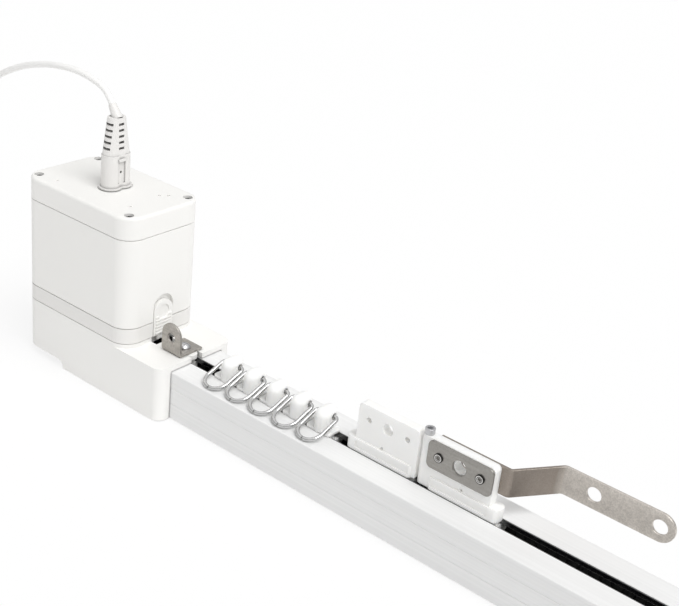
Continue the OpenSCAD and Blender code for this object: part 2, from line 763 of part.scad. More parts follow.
// Socket in the top cap for the power connector, with its two pins
module power_inlet() color([0.1, 0.1, 0.1]) translate([connector_x, 0, motor_top]) {
    difference() {
        union() {
            translate([0, 0, -inlet_h]) linear_extrude(inlet_h - 0.1) figure_eight(inlet_wall);
            translate([0, 0, -cap_floor - 1.5]) linear_extrude(1.3) figure_eight(3);
        }
        translate([0, 0, -inlet_h + 1.5]) linear_extrude(inlet_h) figure_eight(0.2);
    }
    for (y = [-1, 1]) translate([0, y * lobe_y, 0]) pin_z(1.2, -inlet_h + 1.4, -3);
}

idler_x1 = rail_l + idler_l;
idler_cover_x0 = rail_l + rail_insert + 3.5;
idler_cover_x1 = idler_x1 - housing_wall - 0.8;
idler_cover_w = idler_w - 2 * housing_wall - 2;
idler_spots = [
    for (x = [idler_cover_x0 + cover_inset, idler_cover_x1 - cover_inset], y = [-1, 1])
        [x, y * (idler_cover_w / 2 - cover_inset)]
];

cap_screw_l = 16;
module screw(z, down) {
    translate([0, 0, z]) mirror([0, 0, down ? 0 : 1]) difference() {
        union() {
            pin_z(head_r, -head_h, 0);
            pin_z(screw_r, -head_h - cap_screw_l, -head_h + eps);
        }
        for (a = [0, 90]) rotate([0, 0, a]) box([-1.3, -0.25, -0.6], [1.3, 0.25, 1]);
    }
}

module case_screws() color("silver") {
    for (p = cap_screws) translate(p) {
        screw(motor_top - head_sink, true);
        screw(deck_h + 0.3, false);
    }
    holes(concat(cover_spots, idler_spots), head_r, 0.1, head_h - 0.3);
    holes(concat(cover_spots, idler_spots), screw_r, head_h - 0.3 - eps, cover_t + 3.6);
}

// End stop and end hook

stop_x0 = -rail_insert - 1;
stop_x1 = -1.4;
hook_x0 = -hook_l - 3;
hook_y0 = -hook_w / 2 - 1;
hook_screw_x = hook_x0 + hook_l / 2 + 0.5;
hook_hole_z = neck_h + hook_h - hook_l / 2 - 1.1;

module end_stop() color("white") difference() {
    union() {
        box([stop_x0, -slot_w / 2 + seat_gap, rail_h + 0.3], [stop_x1 - 3, slot_w / 2 - seat_gap, neck_h]);
        translate([stop_x1 - 3, 0, 0]) pin_z(slot_w / 2 - seat_gap, rail_h + 0.3, neck_h);
        box([stop_x0 + 2, -neck_y / 2, strip_z - 1], [stop_x1 - 2, neck_y / 2, neck_h - 1]);
        box([stop_x0 + 2, -block_w / 2, strip_z - 3], [stop_x1 - 2, block_w / 2, strip_z - 0.2]);
    }
    translate([hook_screw_x, 0, 0]) pin_z(1.4 + fit_gap, strip_z - 4, neck_h + 1);
}

// Bent steel strip: a flat foot over the slot and an upright tab with an eye
module end_hook() color("silver") difference() {
    intersection() {
        along_x(hook_x0, hook_x0 + hook_l) difference() {
            union() {
                translate([hook_y0 + 1.6, neck_h]) square([hook_w - 1.6, hook_t]);
                translate([hook_y0, neck_h + 1.6]) square([hook_t, hook_h - 1.6]);
                intersection() {
                    translate([hook_y0 + 1.6, neck_h + 1.6]) circle(1.6);
                    translate([hook_y0, neck_h]) square(1.6 + eps);
                }
            }
            translate([hook_y0 + 1.6, neck_h + 1.6]) circle(1.6 - hook_t);
        }
        across_y(hook_y0 - 1, hook_y0 + hook_w + 1) {
            translate([hook_x0, neck_h - 1]) square([hook_l, hook_h + 1 - hook_l / 2]);
            translate([hook_x0 + hook_l / 2, neck_h + hook_h - hook_l / 2]) circle(hook_l / 2);
        }
    }
    translate([hook_x0 + hook_l / 2, 0, hook_hole_z]) pin_y(hook_r, hook_y0 - 1, hook_y0 + hook_t + 1);
    translate([hook_screw_x, 0, 0]) pin_z(1.5, neck_h - 1, neck_h + hook_t + 1);
}

hook_head_r = 3.1;
hook_dome = 2.1;
hook_dome_r = 3.6;
module end_hook_screw() color("silver") translate([hook_screw_x, 0, neck_h + hook_t]) difference() {
    union() {
        intersection() {
            translate([0, 0, hook_dome - hook_dome_r]) sphere(hook_dome_r);
            pin_z(hook_head_r, 0, hook_dome + 1);
        }
        pin_z(1.4, -hook_t - 6, eps);
    }
    for (a = [45, 135]) rotate([0, 0, a]) box([-1.7, -0.35, hook_dome - 0.8], [1.7, 0.35, hook_dome + 1]);
}

// Idler end

idler_front_r = 3;
module idler_housing() color("white") difference() {
    linear_extrude(idler_h) {
        plan(rail_l + idler_r, idler_x1, idler_w, idler_r);
        plan(rail_l, idler_x1 - 2 * idler_r, idler_w, idler_front_r);
    }
    slab(rail_l + rail_insert + 2, idler_x1 - housing_wall, idler_w - 2 * housing_wall,
        idler_r - housing_wall, cover_t + 4, idler_h - housing_wall);
    slab(idler_cover_x0 + cover_ledge, idler_cover_x1 - cover_ledge, idler_cover_w - 2 * cover_ledge, 2,
        -1, cover_t + 5);
    slab(idler_cover_x0 - joint_gap, idler_cover_x1 + joint_gap, idler_cover_w + 2 * joint_gap, 4,
        -1, cover_t);
    holes(idler_spots, screw_r + fit_gap, cover_t - eps, cover_t + 3.8);
    along_x(rail_l - 1, rail_l + rail_insert + seat_gap) rail_outline(rail_gap);
    along_x(rail_l + rail_insert, rail_l + rail_insert + 3) rail_bore();
    translate([idler_x, 0, 0]) pin_z(axle_r + fit_gap, idler_h - housing_wall - 1, idler_h - 1);
}

module idler_cover() color("white") difference() {
    union() {
        slab(idler_cover_x0, idler_cover_x1, idler_cover_w, 4 - joint_gap, 0, cover_t);
        translate([idler_x, 0, 0]) pin_z(axle_r + 2.5, cover_t - eps, cover_t + 3);
    }
    holes(idler_spots, screw_r + fit_gap, -1, cover_t + 1);
    holes(idler_spots, head_r + seat_gap, -1, head_h - 0.2);
    translate([idler_x, 0, 0]) pin_z(axle_r + fit_gap, cover_t - 0.8, cover_t + 4);
}

module idler_axle() color("silver") translate([idler_x, 0, 0]) {
    pin_z(axle_r, cover_t - 0.8, idler_h - 1.2);
    pin_z(axle_r + 2, cover_t + 3, belt_z - 0.4 - pulley_flange_t - 0.2);
}

module idler_pulley() color("whitesmoke") translate([idler_x, 0, 0]) pulley(idler_h);

// Runners

// Two wheels with soft treads, fast on one axle
module wheels(x) color("whitesmoke") translate([x, 0, wheel_z]) rotate([-90, 0, 0]) rotate_extrude() {
    edge = 0.6;
    translate([0, -wheel_in - wheel_w]) square([pin_r, 2 * (wheel_in + wheel_w)]);
    for (m = [0, 1]) mirror([0, m]) translate([0, wheel_in]) {
        square([wheel_r - edge, wheel_w]);
        translate([0, edge]) square([wheel_r, wheel_w - 2 * edge]);
        for (y = [edge, wheel_w - edge]) translate([wheel_r - edge, y]) circle(edge);
    }
}

// Body of a runner or a carrier inside the rail
module block(l) {
    box([-l / 2, -block_w / 2, wheel_z - block_drop], [l / 2, block_w / 2, strip_z - 0.4]);
}

// Section of a knob across its length, and its half
module knob_section(half) {
    translate([half ? 0 : -knob_r, 0]) square([half ? knob_r : 2 * knob_r, knob_h - knob_r]);
    intersection() {
        translate([0, knob_h - knob_r]) circle(knob_r);
        translate([half ? 0 : -knob_r, 0]) square([2 * knob_r, knob_h]);
    }
}

// Body inside the rail, neck in the slot, base over it and a domed knob with the ring's hole
module runner(i) color("ivory") translate([runner_at(i), 0, 0]) difference() {
    union() {
        block(runner_l);
        box([-runner_l / 2 + 2, -neck_y / 2, strip_z - 1], [runner_l / 2 - 2, neck_y / 2, rail_h + 1.4]);
        translate([0, 0, rail_h + 0.3]) {
            linear_extrude(base_t) plan(-base_l / 2, base_l / 2, base_w, 1.5);
            for (m = [0, 1]) translate([0, knob_ends[m], 0]) mirror([0, 1 - m, 0])
                rotate_extrude(angle = 180) knob_section(true);
            across_y(knob_ends[0], knob_ends[1]) knob_section(false);
        }
    }
    translate([0, 0, wheel_z]) pin_y(pin_r + fit_gap, -block_w, block_w);
    translate([-2 * knob_r, eye_y, eye_z]) rotate([0, 90, 0]) cylinder(r = eye_r, h = 4 * knob_r);
}

// A bend of wire about the Z axis
module wire_bend(radius, angle) {
    rotate_extrude(angle = angle) translate([radius, 0]) circle(wire_r);
}

// Bent wire: straight through the knob, round at the front, with a split there
module ring(i) color("silver") translate([runner_at(i), eye_y, eye_z]) rotate([ring_drop, 0, 0]) {
    straight = ring_l - ring_corner - ring_half;
    split = asin(ring_gap / 2 / ring_half);
    for (m = [0, 1]) mirror([m, 0, 0]) {
        translate([ring_half - ring_corner, 0, 0]) rotate([0, -90, 0])
            cylinder(r = wire_r, h = ring_half - ring_corner);
        translate([ring_half - ring_corner, -ring_corner, 0]) wire_bend(ring_corner, 90);
        translate([ring_half, -ring_corner, 0]) rotate([90, 0, 0]) cylinder(r = wire_r, h = straight);
        translate([0, -ring_corner - straight, 0]) mirror([0, 1, 0]) wire_bend(ring_half, 90 - split);
    }
}

// Carriers

module blade_outline() {
    z0 = rail_h + 1;
    translate([-blade_l / 2, z0]) square([blade_l, blade_h - 1 - blade_r]);
    translate([-blade_l / 2 + blade_r, z0]) square([blade_l - 2 * blade_r, blade_h - 1]);
    for (x = [-1, 1]) translate([x * (blade_l / 2 - blade_r), rail_h + blade_h - blade_r]) circle(blade_r);
}

// Moulded carrier: block and neck in the rail, foot over the slot and an upright blade,
// with a pillar for the screw on one of the two
panel_in = 1.5;
panel_out = 4.8;
module carrier(x, side, pillar) color("ivory") translate([x, 0, 0]) difference() {
    union() {
        block(carrier_l - 2);
        box([-carrier_l / 2 + 2, -neck_y / 2, strip_z - 1], [carrier_l / 2 - 2, neck_y / 2, foot_z + 1]);
        translate([0, 0, foot_z]) linear_extrude(foot_h) plan(-carrier_l / 2, carrier_l / 2, foot_w, 2.4);
        translate([side * blade_shift, 0, 0]) across_y(blade_y0, blade_y0 + blade_t) blade_outline();
        if (pillar) mirror([side < 0 ? 1 : 0, 0, 0]) {
            box([blade_shift, blade_y0, foot_z], [pillar_x, blade_y0 + blade_t, rail_h + blade_h]);
            translate([pillar_x, blade_y0 + blade_t / 2, 0]) pin_z(blade_t / 2, foot_z, rail_h + blade_h);
        }
    }
    for (s = [-1, 1]) translate([s * axle_pitch / 2, 0, wheel_z]) pin_y(pin_r + fit_gap, -block_w, block_w);
    translate([side * blade_shift, 0, hole_z]) {
        pin_y(hook_hole_r, blade_y0 - 1, blade_y0 + blade_t + 1);
        for (s = [-1, 1]) translate([s * rivet_pitch, 0, 0])
            pin_y(rivet_r + fit_gap, blade_y0 - 1, blade_y0 + blade_t + 1);
    }
    // Shallow panel and moulding dimple on the foot's front
    mirror([side < 0 ? 1 : 0, 0, 0])
        box([-carrier_l / 2 + panel_out, -foot_w, foot_z + 1.6],
            [carrier_l / 2 - panel_in, -foot_w / 2 + 0.5, foot_z + foot_h - 1.2]);
    translate([side, 0, foot_z + foot_h + 0.8]) pin_y(0.7, -foot_w, blade_y0 + 1);
    // Seat of the clamp screw in the pillar's top
    if (pillar) translate([side * pillar_x, blade_y0 + blade_t / 2, rail_h + blade_h - 6])
        cylinder(r = tip_screw_r + fit_gap, h = 7);
    // Groove that the belt clamp slides into
    box([-clamp_l / 2 - joint_gap, -block_w, tongue_z - seat_gap],
        [clamp_l / 2 + joint_gap, -block_w / 2 + tongue_l + seat_gap, tongue_z + tongue_h + seat_gap]);
}

// Clip that holds the front run of the belt between two jaws
module belt_clamp(x) color("ivory") translate([x, 0, 0]) {
    y0 = -belt_y - belt_back / 2 - run_gap - jaw_t;
    y1 = -tip_r + run_gap;
    under = belt_z - 0.3;
    box([-clamp_l / 2, y0, under - 1.6], [clamp_l / 2, y0 + jaw_t, belt_z + belt_w - 1]);
    box([-clamp_l / 2, y0, under - 1.6], [clamp_l / 2, y1 + 1.4, under]);
    box([-clamp_l / 2, y1, under - 1.6], [clamp_l / 2, y1 + 1.4, belt_z + belt_w - 1]);
    box([-clamp_l / 2, y1, tongue_z], [clamp_l / 2, -block_w / 2 + tongue_l, tongue_z + tongue_h]);
}

module carrier_plate() color("silver") translate([blade_x, 0, hole_z]) difference() {
    across_y(blade_y0 - plate_t, blade_y0) plan(-blade_l / 2, blade_l / 2, plate_h, plate_r);
    pin_y(hook_hole_r + 0.6, blade_y0 - 3, blade_y0 + 1);
    for (s = [-1, 1]) translate([s * rivet_pitch, 0, 0]) pin_y(rivet_r + fit_gap, blade_y0 - 3, blade_y0 + 1);
}

// Steel strip behind the blade that is joggled sideways and ends in a round eye
arm_y = blade_y0 + blade_t;
arm_x0 = -blade_l / 2 + 2;
arm_bend_x = blade_l / 2 + arm_lead;
arm_slant = (arm_offset - 2 * arm_bend_r * (1 - cos(arm_angle))) / sin(arm_angle);
arm_flat_x = arm_bend_x + 2 * arm_bend_r * sin(arm_angle) + arm_slant * cos(arm_angle);
arm_end_x = arm_flat_x + arm_l;

arm_steps = 6;

// Points along one side of the strip, at a distance to the left of its middle line
function arm_side(off) = concat(
    [[arm_x0, off]],
    [for (k = [0 : arm_steps])
        [arm_bend_x, arm_bend_r] + polar(arm_bend_r - off, -90 + arm_angle * k / arm_steps)],
    [for (k = [arm_steps : -1 : 0])
        [arm_flat_x, arm_offset - arm_bend_r] + polar(arm_bend_r + off, 90 + arm_angle * k / arm_steps)],
    [[arm_end_x + plate_h, arm_offset + off]]
);

module arm_plan() {
    right = arm_side(-arm_t / 2);
    left = arm_side(arm_t / 2);
    polygon(concat(right, [for (i = [len(left) - 1 : -1 : 0]) left[i]]));
}

module overlap_arm() color("silver") translate([blade_x, 0, hole_z]) difference() {
    intersection() {
        translate([0, arm_y + arm_t / 2, -plate_h]) linear_extrude(2 * plate_h) arm_plan();
        across_y(arm_y - 1, arm_y + arm_offset + 5) {
            translate([arm_x0 - 1, -plate_h / 2]) square([arm_end_x - arm_x0 + 1, plate_h]);
            translate([arm_end_x, 0]) circle(plate_h / 2);
        }
    }
    pin_y(hook_hole_r + 0.6, arm_y - 1, arm_y + 3);
    for (s = [-1, 1]) translate([s * rivet_pitch, 0, 0]) pin_y(rivet_r + fit_gap, arm_y - 1, arm_y + 3);
    for (x = [arm_end_x - arm_hole_pitch, arm_end_x])
        translate([x, 0, 0]) pin_y(arm_hole_r, arm_y + arm_offset - 1, arm_y + arm_offset + 3);
}

// Hollow rivets that hold the plate and the arm to the blade
module plate_rivets() color("silver") translate([blade_x, 0, hole_z])
    for (s = [-1, 1]) translate([s * rivet_pitch, 0, 0]) difference() {
        union() {
            pin_y(rivet_r, blade_y0 - plate_t - rivet_head_t, arm_y + arm_t + rivet_head_t);
            pin_y(rivet_head_r, blade_y0 - plate_t - rivet_head_t, blade_y0 - plate_t);
            pin_y(rivet_head_r, arm_y + arm_t, arm_y + arm_t + rivet_head_t);
        }
        pin_y(rivet_r - 0.5, blade_y0 - plate_t - 1, blade_y0);
    }

// Socket screw in the top of the leading carrier's pillar
module clamp_screw() color("silver")
    translate([leading_x - pillar_x, blade_y0 + blade_t / 2, rail_h + blade_h]) difference() {
        union() {
            pin_z(tip_screw_r + 0.9, 0, 2.6);
            pin_z(tip_screw_r, -5.5, eps);
        }
        translate([0, 0, 1]) cylinder(r = 1.4, h = 3, $fn = 6);
    }

// Power lead

connector_body = 17;
relief_r = 3.4;
relief_y = 1.2;
nose_r = 2.7;
slot_rows = 5;
slot_pitch = 2.9;
slot_h = 1.2;
panel_y = 2.2;
module power_connector() color("white") translate([connector_x, 0, motor_top]) difference() {
    union() {
        translate([0, 0, -inlet_h + 3.2]) linear_extrude(inlet_h - 3) figure_eight(-0.1);
        translate([0, 0, 0.2]) linear_extrude(0.9) figure_eight(0.9);
        translate([0, 0, 0.2]) linear_extrude(connector_body - 0.2) figure_eight(-0.2);
        hull() {
            translate([0, 0, connector_body - 2]) linear_extrude(2) figure_eight(-0.6, $fn = hull_fn);
            translate([0, 0, connector_body + 5]) linear_extrude(connector_h - connector_body - 5)
                for (y = [-1, 1]) translate([0, y * relief_y]) circle(r = relief_r, $fn = hull_fn);
        }
        // Soft tip that leans the way the cord goes
        translate([0, 0, connector_h]) rotate([0, -tip_lean, 0]) translate([0, 0, -1.2])
            cylinder(r1 = nose_r, r2 = cord_r + 0.3, h = tip_l + 1.2);
        box([0, -panel_y, connector_body - 3], [lobe_r + 0.3, panel_y, connector_body - 1.6]);
    }
    for (y = [-1, 1]) translate([0, y * lobe_y, 0]) pin_z(1.35, -inlet_h, -2.5);
    // Rows of slots that let the strain relief bend, wide at its ends and narrow on its flats
    for (i = [0 : slot_rows - 1]) translate([0, 0, connector_body + 2.8 + slot_pitch * i]) {
        for (m = [0, 1]) mirror([0, m, 0]) box([-2.4, 2.7, 0], [2.4, 9, slot_h]);
        for (m = [0, 1]) mirror([m, 0, 0]) box([2.3, -1.6, 0], [9, 1.6, slot_h]);
    }
    // Thumb panel and its dimple on the face towards the rail
    box([lobe_r - 0.9, -panel_y, 3], [lobe_r + 2, panel_y, connector_body - 3]);
    translate([lobe_r - 2, 0, connector_body / 2]) rotate([0, 90, 0]) cylinder(r = 0.6, h = 4);
}

module power_cord() color("white") tube(cord_rings(cord_points, cord_r, 8));

// Layer, radius and height of the coil after a number of turns from its upper end
function coil_layer(t) = min(floor(t / layer_turns), coil_layers - 1);
function coil_part(t) = t - coil_layer(t) * layer_turns;
function coil_spiral(t) = min(coil_part(t), coil_turns) * coil_pitch;
function coil_radius(t) = coil_layer(t) % 2 == 0 ? coil_out - coil_spiral(t) : coil_in + coil_spiral(t);
function ease(u) = u * u * (3 - 2 * u);
function coil_drop(t) = coil_layer(t) + ease(max(0, coil_part(t) - coil_turns) / 0.5);
function coil_top(t) = coil_z + (coil_layers - 1 - coil_drop(t)) * coil_rise;
function coil_centre(t) = let (a = 90 + 360 * t)
    [coil_x + coil_radius(t) * cos(a), coil_y + coil_radius(t) * sin(a), coil_top(t)];
coil_count = coil_all * coil_steps;
coil_path = concat(
    [cord_points[len(cord_points) - 1]],
    [for (k = [0 : coil_count]) coil_centre(k / coil_steps)],
    [lead_points[0]]
);
function coil_ring(p, i) = let (t = heading(p, i), s = unit(cross(t, [0, 0, 1])), b = cross(s, t))
    [for (k = [0 : 5]) p[i] + cord_r * (cos(60 * k + 30) * s + sin(60 * k + 30) * b)];
// Least distance between turns, from points more than half a turn apart
coil_gap = min([
    for (i = [0 : 2 : len(coil_path) - 1], j = [i + coil_steps / 2 : 1 : len(coil_path) - 1])
        norm(coil_path[i] - coil_path[j])
]) - cord_d;
echo(coil_least_gap = coil_gap);

module cord_coil() color("white") tube([for (i = [0 : len(coil_path) - 1]) coil_ring(coil_path, i)]);

// Band round all turns of the coil, on the side away from both leads
tie_w = 5;
tie_t = 0.6;
tie_gap = 0.35;
module cord_tie() color("white") translate([coil_x, coil_y, 0]) across_y(-tie_w / 2, tie_w / 2) difference() {
    tie_outline(tie_t);
    tie_outline(0);
}
module tie_outline(grow) {
    gap = tie_gap + grow;
    low = [coil_in - cord_r - gap, coil_z - cord_r - gap];
    high = [coil_out + cord_r + gap, coil_z + (coil_layers - 1) * coil_rise + cord_r + gap];
    r = cord_r + grow;
    translate(low + [r, 0]) square(high - low - [2 * r, 0]);
    translate(low + [0, r]) square(high - low - [0, 2 * r]);
    for (x = [low[0] + r, high[0] - r], z = [low[1] + r, high[1] - r]) translate([x, z]) circle(r);
}

module plug_lead() color("white") tube(cord_rings(lead_points, cord_r, 8));

// Flat two-pin plug with a tapered strain relief
plug_relief = 22;
plug_body = 34;
plug_w = 25;
plug_t = 13;
plug_edge = 3;
plug_pin_r = 2;
plug_pin_l = 19;
pin_pitch = 18.6;

module plug_section() {
    translate([-plug_w / 2 + plug_edge, -plug_t / 2]) square([plug_w - 2 * plug_edge, plug_t]);
    translate([-plug_w / 2, -plug_t / 2 + plug_edge]) square([plug_w, plug_t - 2 * plug_edge]);
    for (y = [-1, 1], z = [-1, 1])
        translate([y * (plug_w / 2 - plug_edge), z * (plug_t / 2 - plug_edge)]) circle(plug_edge);
}

module mains_plug() color("white") translate([plug_x, plug_y, plug_z]) {
    rotate([0, 90, 0]) cylinder(r1 = cord_r + 0.8, r2 = cord_r + 2.6, h = plug_relief + 1);
    intersection() {
        along_x(plug_relief, plug_relief + plug_body) plug_section();
        translate([plug_relief, 0, -plug_t]) linear_extrude(2 * plug_t)
            polygon([[0, -6], [13, -plug_w / 2], [plug_body, -plug_w / 2],
                [plug_body, plug_w / 2], [13, plug_w / 2], [0, 6]]);
    }
    for (y = [-1, 1]) translate([plug_relief + plug_body - 1, y * pin_pitch / 2, 0]) rotate([0, 90, 0]) {
        cylinder(r = plug_pin_r - 0.25, h = 11);
        translate([0, 0, 10]) cylinder(r = plug_pin_r, h = plug_pin_l + 1 - 10 - plug_pin_r);
        translate([0, 0, plug_pin_l + 1 - plug_pin_r]) sphere(plug_pin_r);
    }
}

rail();
glide_strip(-1);  // glide_strip_front
glide_strip(1);  // glide_strip_rear
drive_housing();
drive_cover();
drive_axle();
drive_pulley();
drive_belt();
motor_base_cap();
motor_case();
motor_top_cap();
release_latch();
output_hub();
planetary_gearbox();
dc_motor();
control_board();
power_inlet();
case_screws();
end_stop();
end_hook();
end_hook_screw();
idler_housing();
idler_cover();
idler_axle();
idler_pulley();
runner(1);  // runner_1
runner(2);  // runner_2
runner(3);  // runner_3
runner(4);  // runner_4
runner(5);  // runner_5
wheels(runner_at(1));  // runner_1_wheels
wheels(runner_at(2));  // runner_2_wheels
wheels(runner_at(3));  // runner_3_wheels
wheels(runner_at(4));  // runner_4_wheels
wheels(runner_at(5));  // runner_5_wheels
ring(1);  // runner_1_ring
ring(2);  // runner_2_ring
ring(3);  // runner_3_ring
ring(4);  // runner_4_ring
ring(5);  // runner_5_ring
carrier(trailing_x, 1, false);  // trailing_carrier
belt_clamp(trailing_x);  // trailing_clamp
wheels(trailing_x - axle_pitch / 2);  // trailing_wheels_a
wheels(trailing_x + axle_pitch / 2);  // trailing_wheels_b
carrier(leading_x, -1, true);  // leading_carrier
belt_clamp(leading_x);  // leading_clamp
wheels(leading_x - axle_pitch / 2);  // leading_wheels_a
wheels(leading_x + axle_pitch / 2);  // leading_wheels_b
carrier_plate();
overlap_arm();
plate_rivets();
clamp_screw();
power_connector();
power_cord();
cord_coil();
cord_tie();
plug_lead();
mains_plug();
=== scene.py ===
"""Looks of the electric curtain track: camera, light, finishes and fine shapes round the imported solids."""

import json
import math

import bmesh
import bpy
from mathutils import Matrix, Vector
from mathutils.geometry import delaunay_2d_cdt

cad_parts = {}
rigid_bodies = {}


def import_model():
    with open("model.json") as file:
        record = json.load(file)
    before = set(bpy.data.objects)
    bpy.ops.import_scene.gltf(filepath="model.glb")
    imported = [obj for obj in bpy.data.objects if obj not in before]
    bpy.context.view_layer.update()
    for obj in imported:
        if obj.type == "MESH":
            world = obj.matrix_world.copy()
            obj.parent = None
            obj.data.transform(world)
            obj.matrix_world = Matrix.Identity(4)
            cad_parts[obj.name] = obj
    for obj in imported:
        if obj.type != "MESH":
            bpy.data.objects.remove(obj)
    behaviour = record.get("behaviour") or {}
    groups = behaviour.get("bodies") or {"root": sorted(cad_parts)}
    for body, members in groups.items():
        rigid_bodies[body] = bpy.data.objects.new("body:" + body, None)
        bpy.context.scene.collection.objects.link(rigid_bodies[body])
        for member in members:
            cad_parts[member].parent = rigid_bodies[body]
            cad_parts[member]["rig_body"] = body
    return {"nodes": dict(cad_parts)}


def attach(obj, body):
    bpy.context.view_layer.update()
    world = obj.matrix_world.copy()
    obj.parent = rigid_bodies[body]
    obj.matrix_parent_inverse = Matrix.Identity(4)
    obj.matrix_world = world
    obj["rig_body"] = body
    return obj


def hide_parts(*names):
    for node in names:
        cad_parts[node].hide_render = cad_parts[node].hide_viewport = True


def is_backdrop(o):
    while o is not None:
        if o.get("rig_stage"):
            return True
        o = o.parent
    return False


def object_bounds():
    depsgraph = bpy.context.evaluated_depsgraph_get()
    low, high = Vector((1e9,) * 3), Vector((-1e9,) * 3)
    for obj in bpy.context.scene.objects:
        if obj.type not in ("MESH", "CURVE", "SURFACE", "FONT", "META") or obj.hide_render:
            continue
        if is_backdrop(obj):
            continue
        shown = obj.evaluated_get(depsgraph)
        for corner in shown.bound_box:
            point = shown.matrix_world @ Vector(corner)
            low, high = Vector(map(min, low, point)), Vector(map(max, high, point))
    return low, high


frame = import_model()
cad_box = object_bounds()

# Camera
# A normal lens at the photograph's angle, a little above the part and turned by a few degrees.
# Its middle ray meets the part at the aim point, so no shift is needed.
scene = bpy.context.scene
IMAGE_WIDTH = 679
FOCAL_PIXELS = 1251.2
SENSOR_WIDTH = 36
NEAREST = 0.01
AIM = Vector((0.0808, 0.0, 0.0877))
DISTANCE = 0.5256
AZIMUTH, ELEVATION, ROLL = (math.radians(a) for a in (36.85, 26.06, 6.29))

camera_data = bpy.data.cameras.new("photo_camera")
camera_data.sensor_width = SENSOR_WIDTH
camera_data.lens = SENSOR_WIDTH * FOCAL_PIXELS / IMAGE_WIDTH
camera_data.clip_start = NEAREST
camera = bpy.data.objects.new("photo_camera", camera_data)
scene.collection.objects.link(camera)
scene.camera = camera

back = Vector((
    math.sin(AZIMUTH) * math.cos(ELEVATION),
    -math.cos(AZIMUTH) * math.cos(ELEVATION),
    math.sin(ELEVATION),
))
level = Vector((math.cos(AZIMUTH), math.sin(AZIMUTH), 0))
upright = back.cross(level)
right = level * math.cos(ROLL) + upright * math.sin(ROLL)
camera.matrix_world = Matrix.Translation(AIM + back * DISTANCE) @ Matrix(
    (right, back.cross(right), back)
).transposed().to_4x4()

scene.view_settings.view_transform = "Standard"

# Power cord
# A round two-core lead in white soft PVC, moulded into the connector at one end and the plug at the other.
# It rises out of the connector, bends over and down behind the motor, and its spare length is coiled there.
MM = 0.001


class Wire:
    """A socket in a node tree. Arithmetic on it adds Math nodes."""

    COLOUR_LOW, COLOUR_HIGH, COLOUR_OUT = 6, 7, 2

    def __init__(self, tree, socket=None):
        self.tree = tree
        self.socket = socket

    def node(self, kind, settings=None, values=None, output=0):
        """Adds a node of any kind, sets it up, then fills its sockets with values or links."""
        made = self.tree.nodes.new(kind)
        for name, value in (settings or {}).items():
            setattr(made, name, value)
        for name, value in (values or {}).items():
            if isinstance(value, Wire):
                self.tree.links.new(value.socket, made.inputs[name])
            else:
                made.inputs[name].default_value = value
        return Wire(self.tree, made.outputs[output])

    def math(self, operation, a, b):
        return self.node("ShaderNodeMath", {"operation": operation}, {0: a, 1: b})

    def __add__(self, other):
        return self.math("ADD", self, other)

    __radd__ = __add__

    def __sub__(self, other):
        return self.math("SUBTRACT", self, other)

    def __rsub__(self, other):
        return self.math("SUBTRACT", other, self)

    def __mul__(self, other):
        return self.math("MULTIPLY", self, other)

    __rmul__ = __mul__

    def blend(self, low, high):
        """From one colour to the other as this value goes from 0 to 1. Either may be a wire."""
        low, high = (c if isinstance(c, Wire) else (*c, 1) for c in (low, high))
        return self.node(
            "ShaderNodeMix",
            {"data_type": "RGBA"},
            {"Factor": self, self.COLOUR_LOW: low, self.COLOUR_HIGH: high},
            output=self.COLOUR_OUT,
        )

    def rise(self, start, end, low=0.0, high=1.0):
        """From low to high as this value goes from start to end."""
        return self.node(
            "ShaderNodeMapRange",
            None,
            {"Value": self, "From Min": start, "From Max": end, "To Min": low, "To Max": high},
        )

    def grain(self, scale, stretch=(1, 1, 1), detail=3.0):
        """Noise on the piece's own coordinates, in features per metre, drawn out along an axis."""
        place = self.node("ShaderNodeTexCoord", output="Object")
        turned = self.node("ShaderNodeMapping", None, {"Vector": place, "Scale": stretch})
        return self.node("ShaderNodeTexNoise", None, {"Vector": turned, "Scale": scale, "Detail": detail})

    def along(self, axis):
        """The place along one of the piece's own axes, in metres."""
        place = self.node("ShaderNodeTexCoord", output="Object")
        return self.node("ShaderNodeSeparateXYZ", None, {"Vector": place}, output=axis)

    def hollow(self, reach):
        """Near 1 deep in slots and gaps that are narrower than that, and near 0 on open faces."""
        return 1 - self.node("ShaderNodeAmbientOcclusion", None, {"Distance": reach}, output="AO")

    def bump(self, height, depth):
        return self.node("ShaderNodeBump", None, {"Height": height, "Distance": depth, "Strength": 1.0})


def finish(name, paint, **constants):
    """A material whose varying sockets come from paint(wire), and the rest are constants of its shader."""
    material = bpy.data.materials.new(name)
    material.use_nodes = True
    tree = material.node_tree
    shader = next(n for n in tree.nodes if n.type == "BSDF_PRINCIPLED")
    for socket, value in constants.items():
        shader.inputs[socket.replace("_", " ")].default_value = value
    for socket, value in paint(Wire(tree)).items():
        tree.links.new(value.socket, shader.inputs[socket])
    return material


def clouded(low, high, clouds, grains, roughness, depth):
    """A way to paint a surface that drifts between two tones and two roughnesses, over a fine grain."""

    def paint(wire):
        cloud, fine = wire.grain(clouds), wire.grain(grains)
        smooth, rough = roughness
        return {
            "Base Color": cloud.blend(low, high),
            "Roughness": smooth + (rough - smooth) * cloud,
            "Normal": wire.bump(fine, depth),
        }

    return paint


def soft_vinyl(low, high):
    """A way to paint soft PVC between two near tones."""
    return clouded(low, high, clouds=35, grains=1800, roughness=(0.38, 0.54), depth=0.04 * MM)


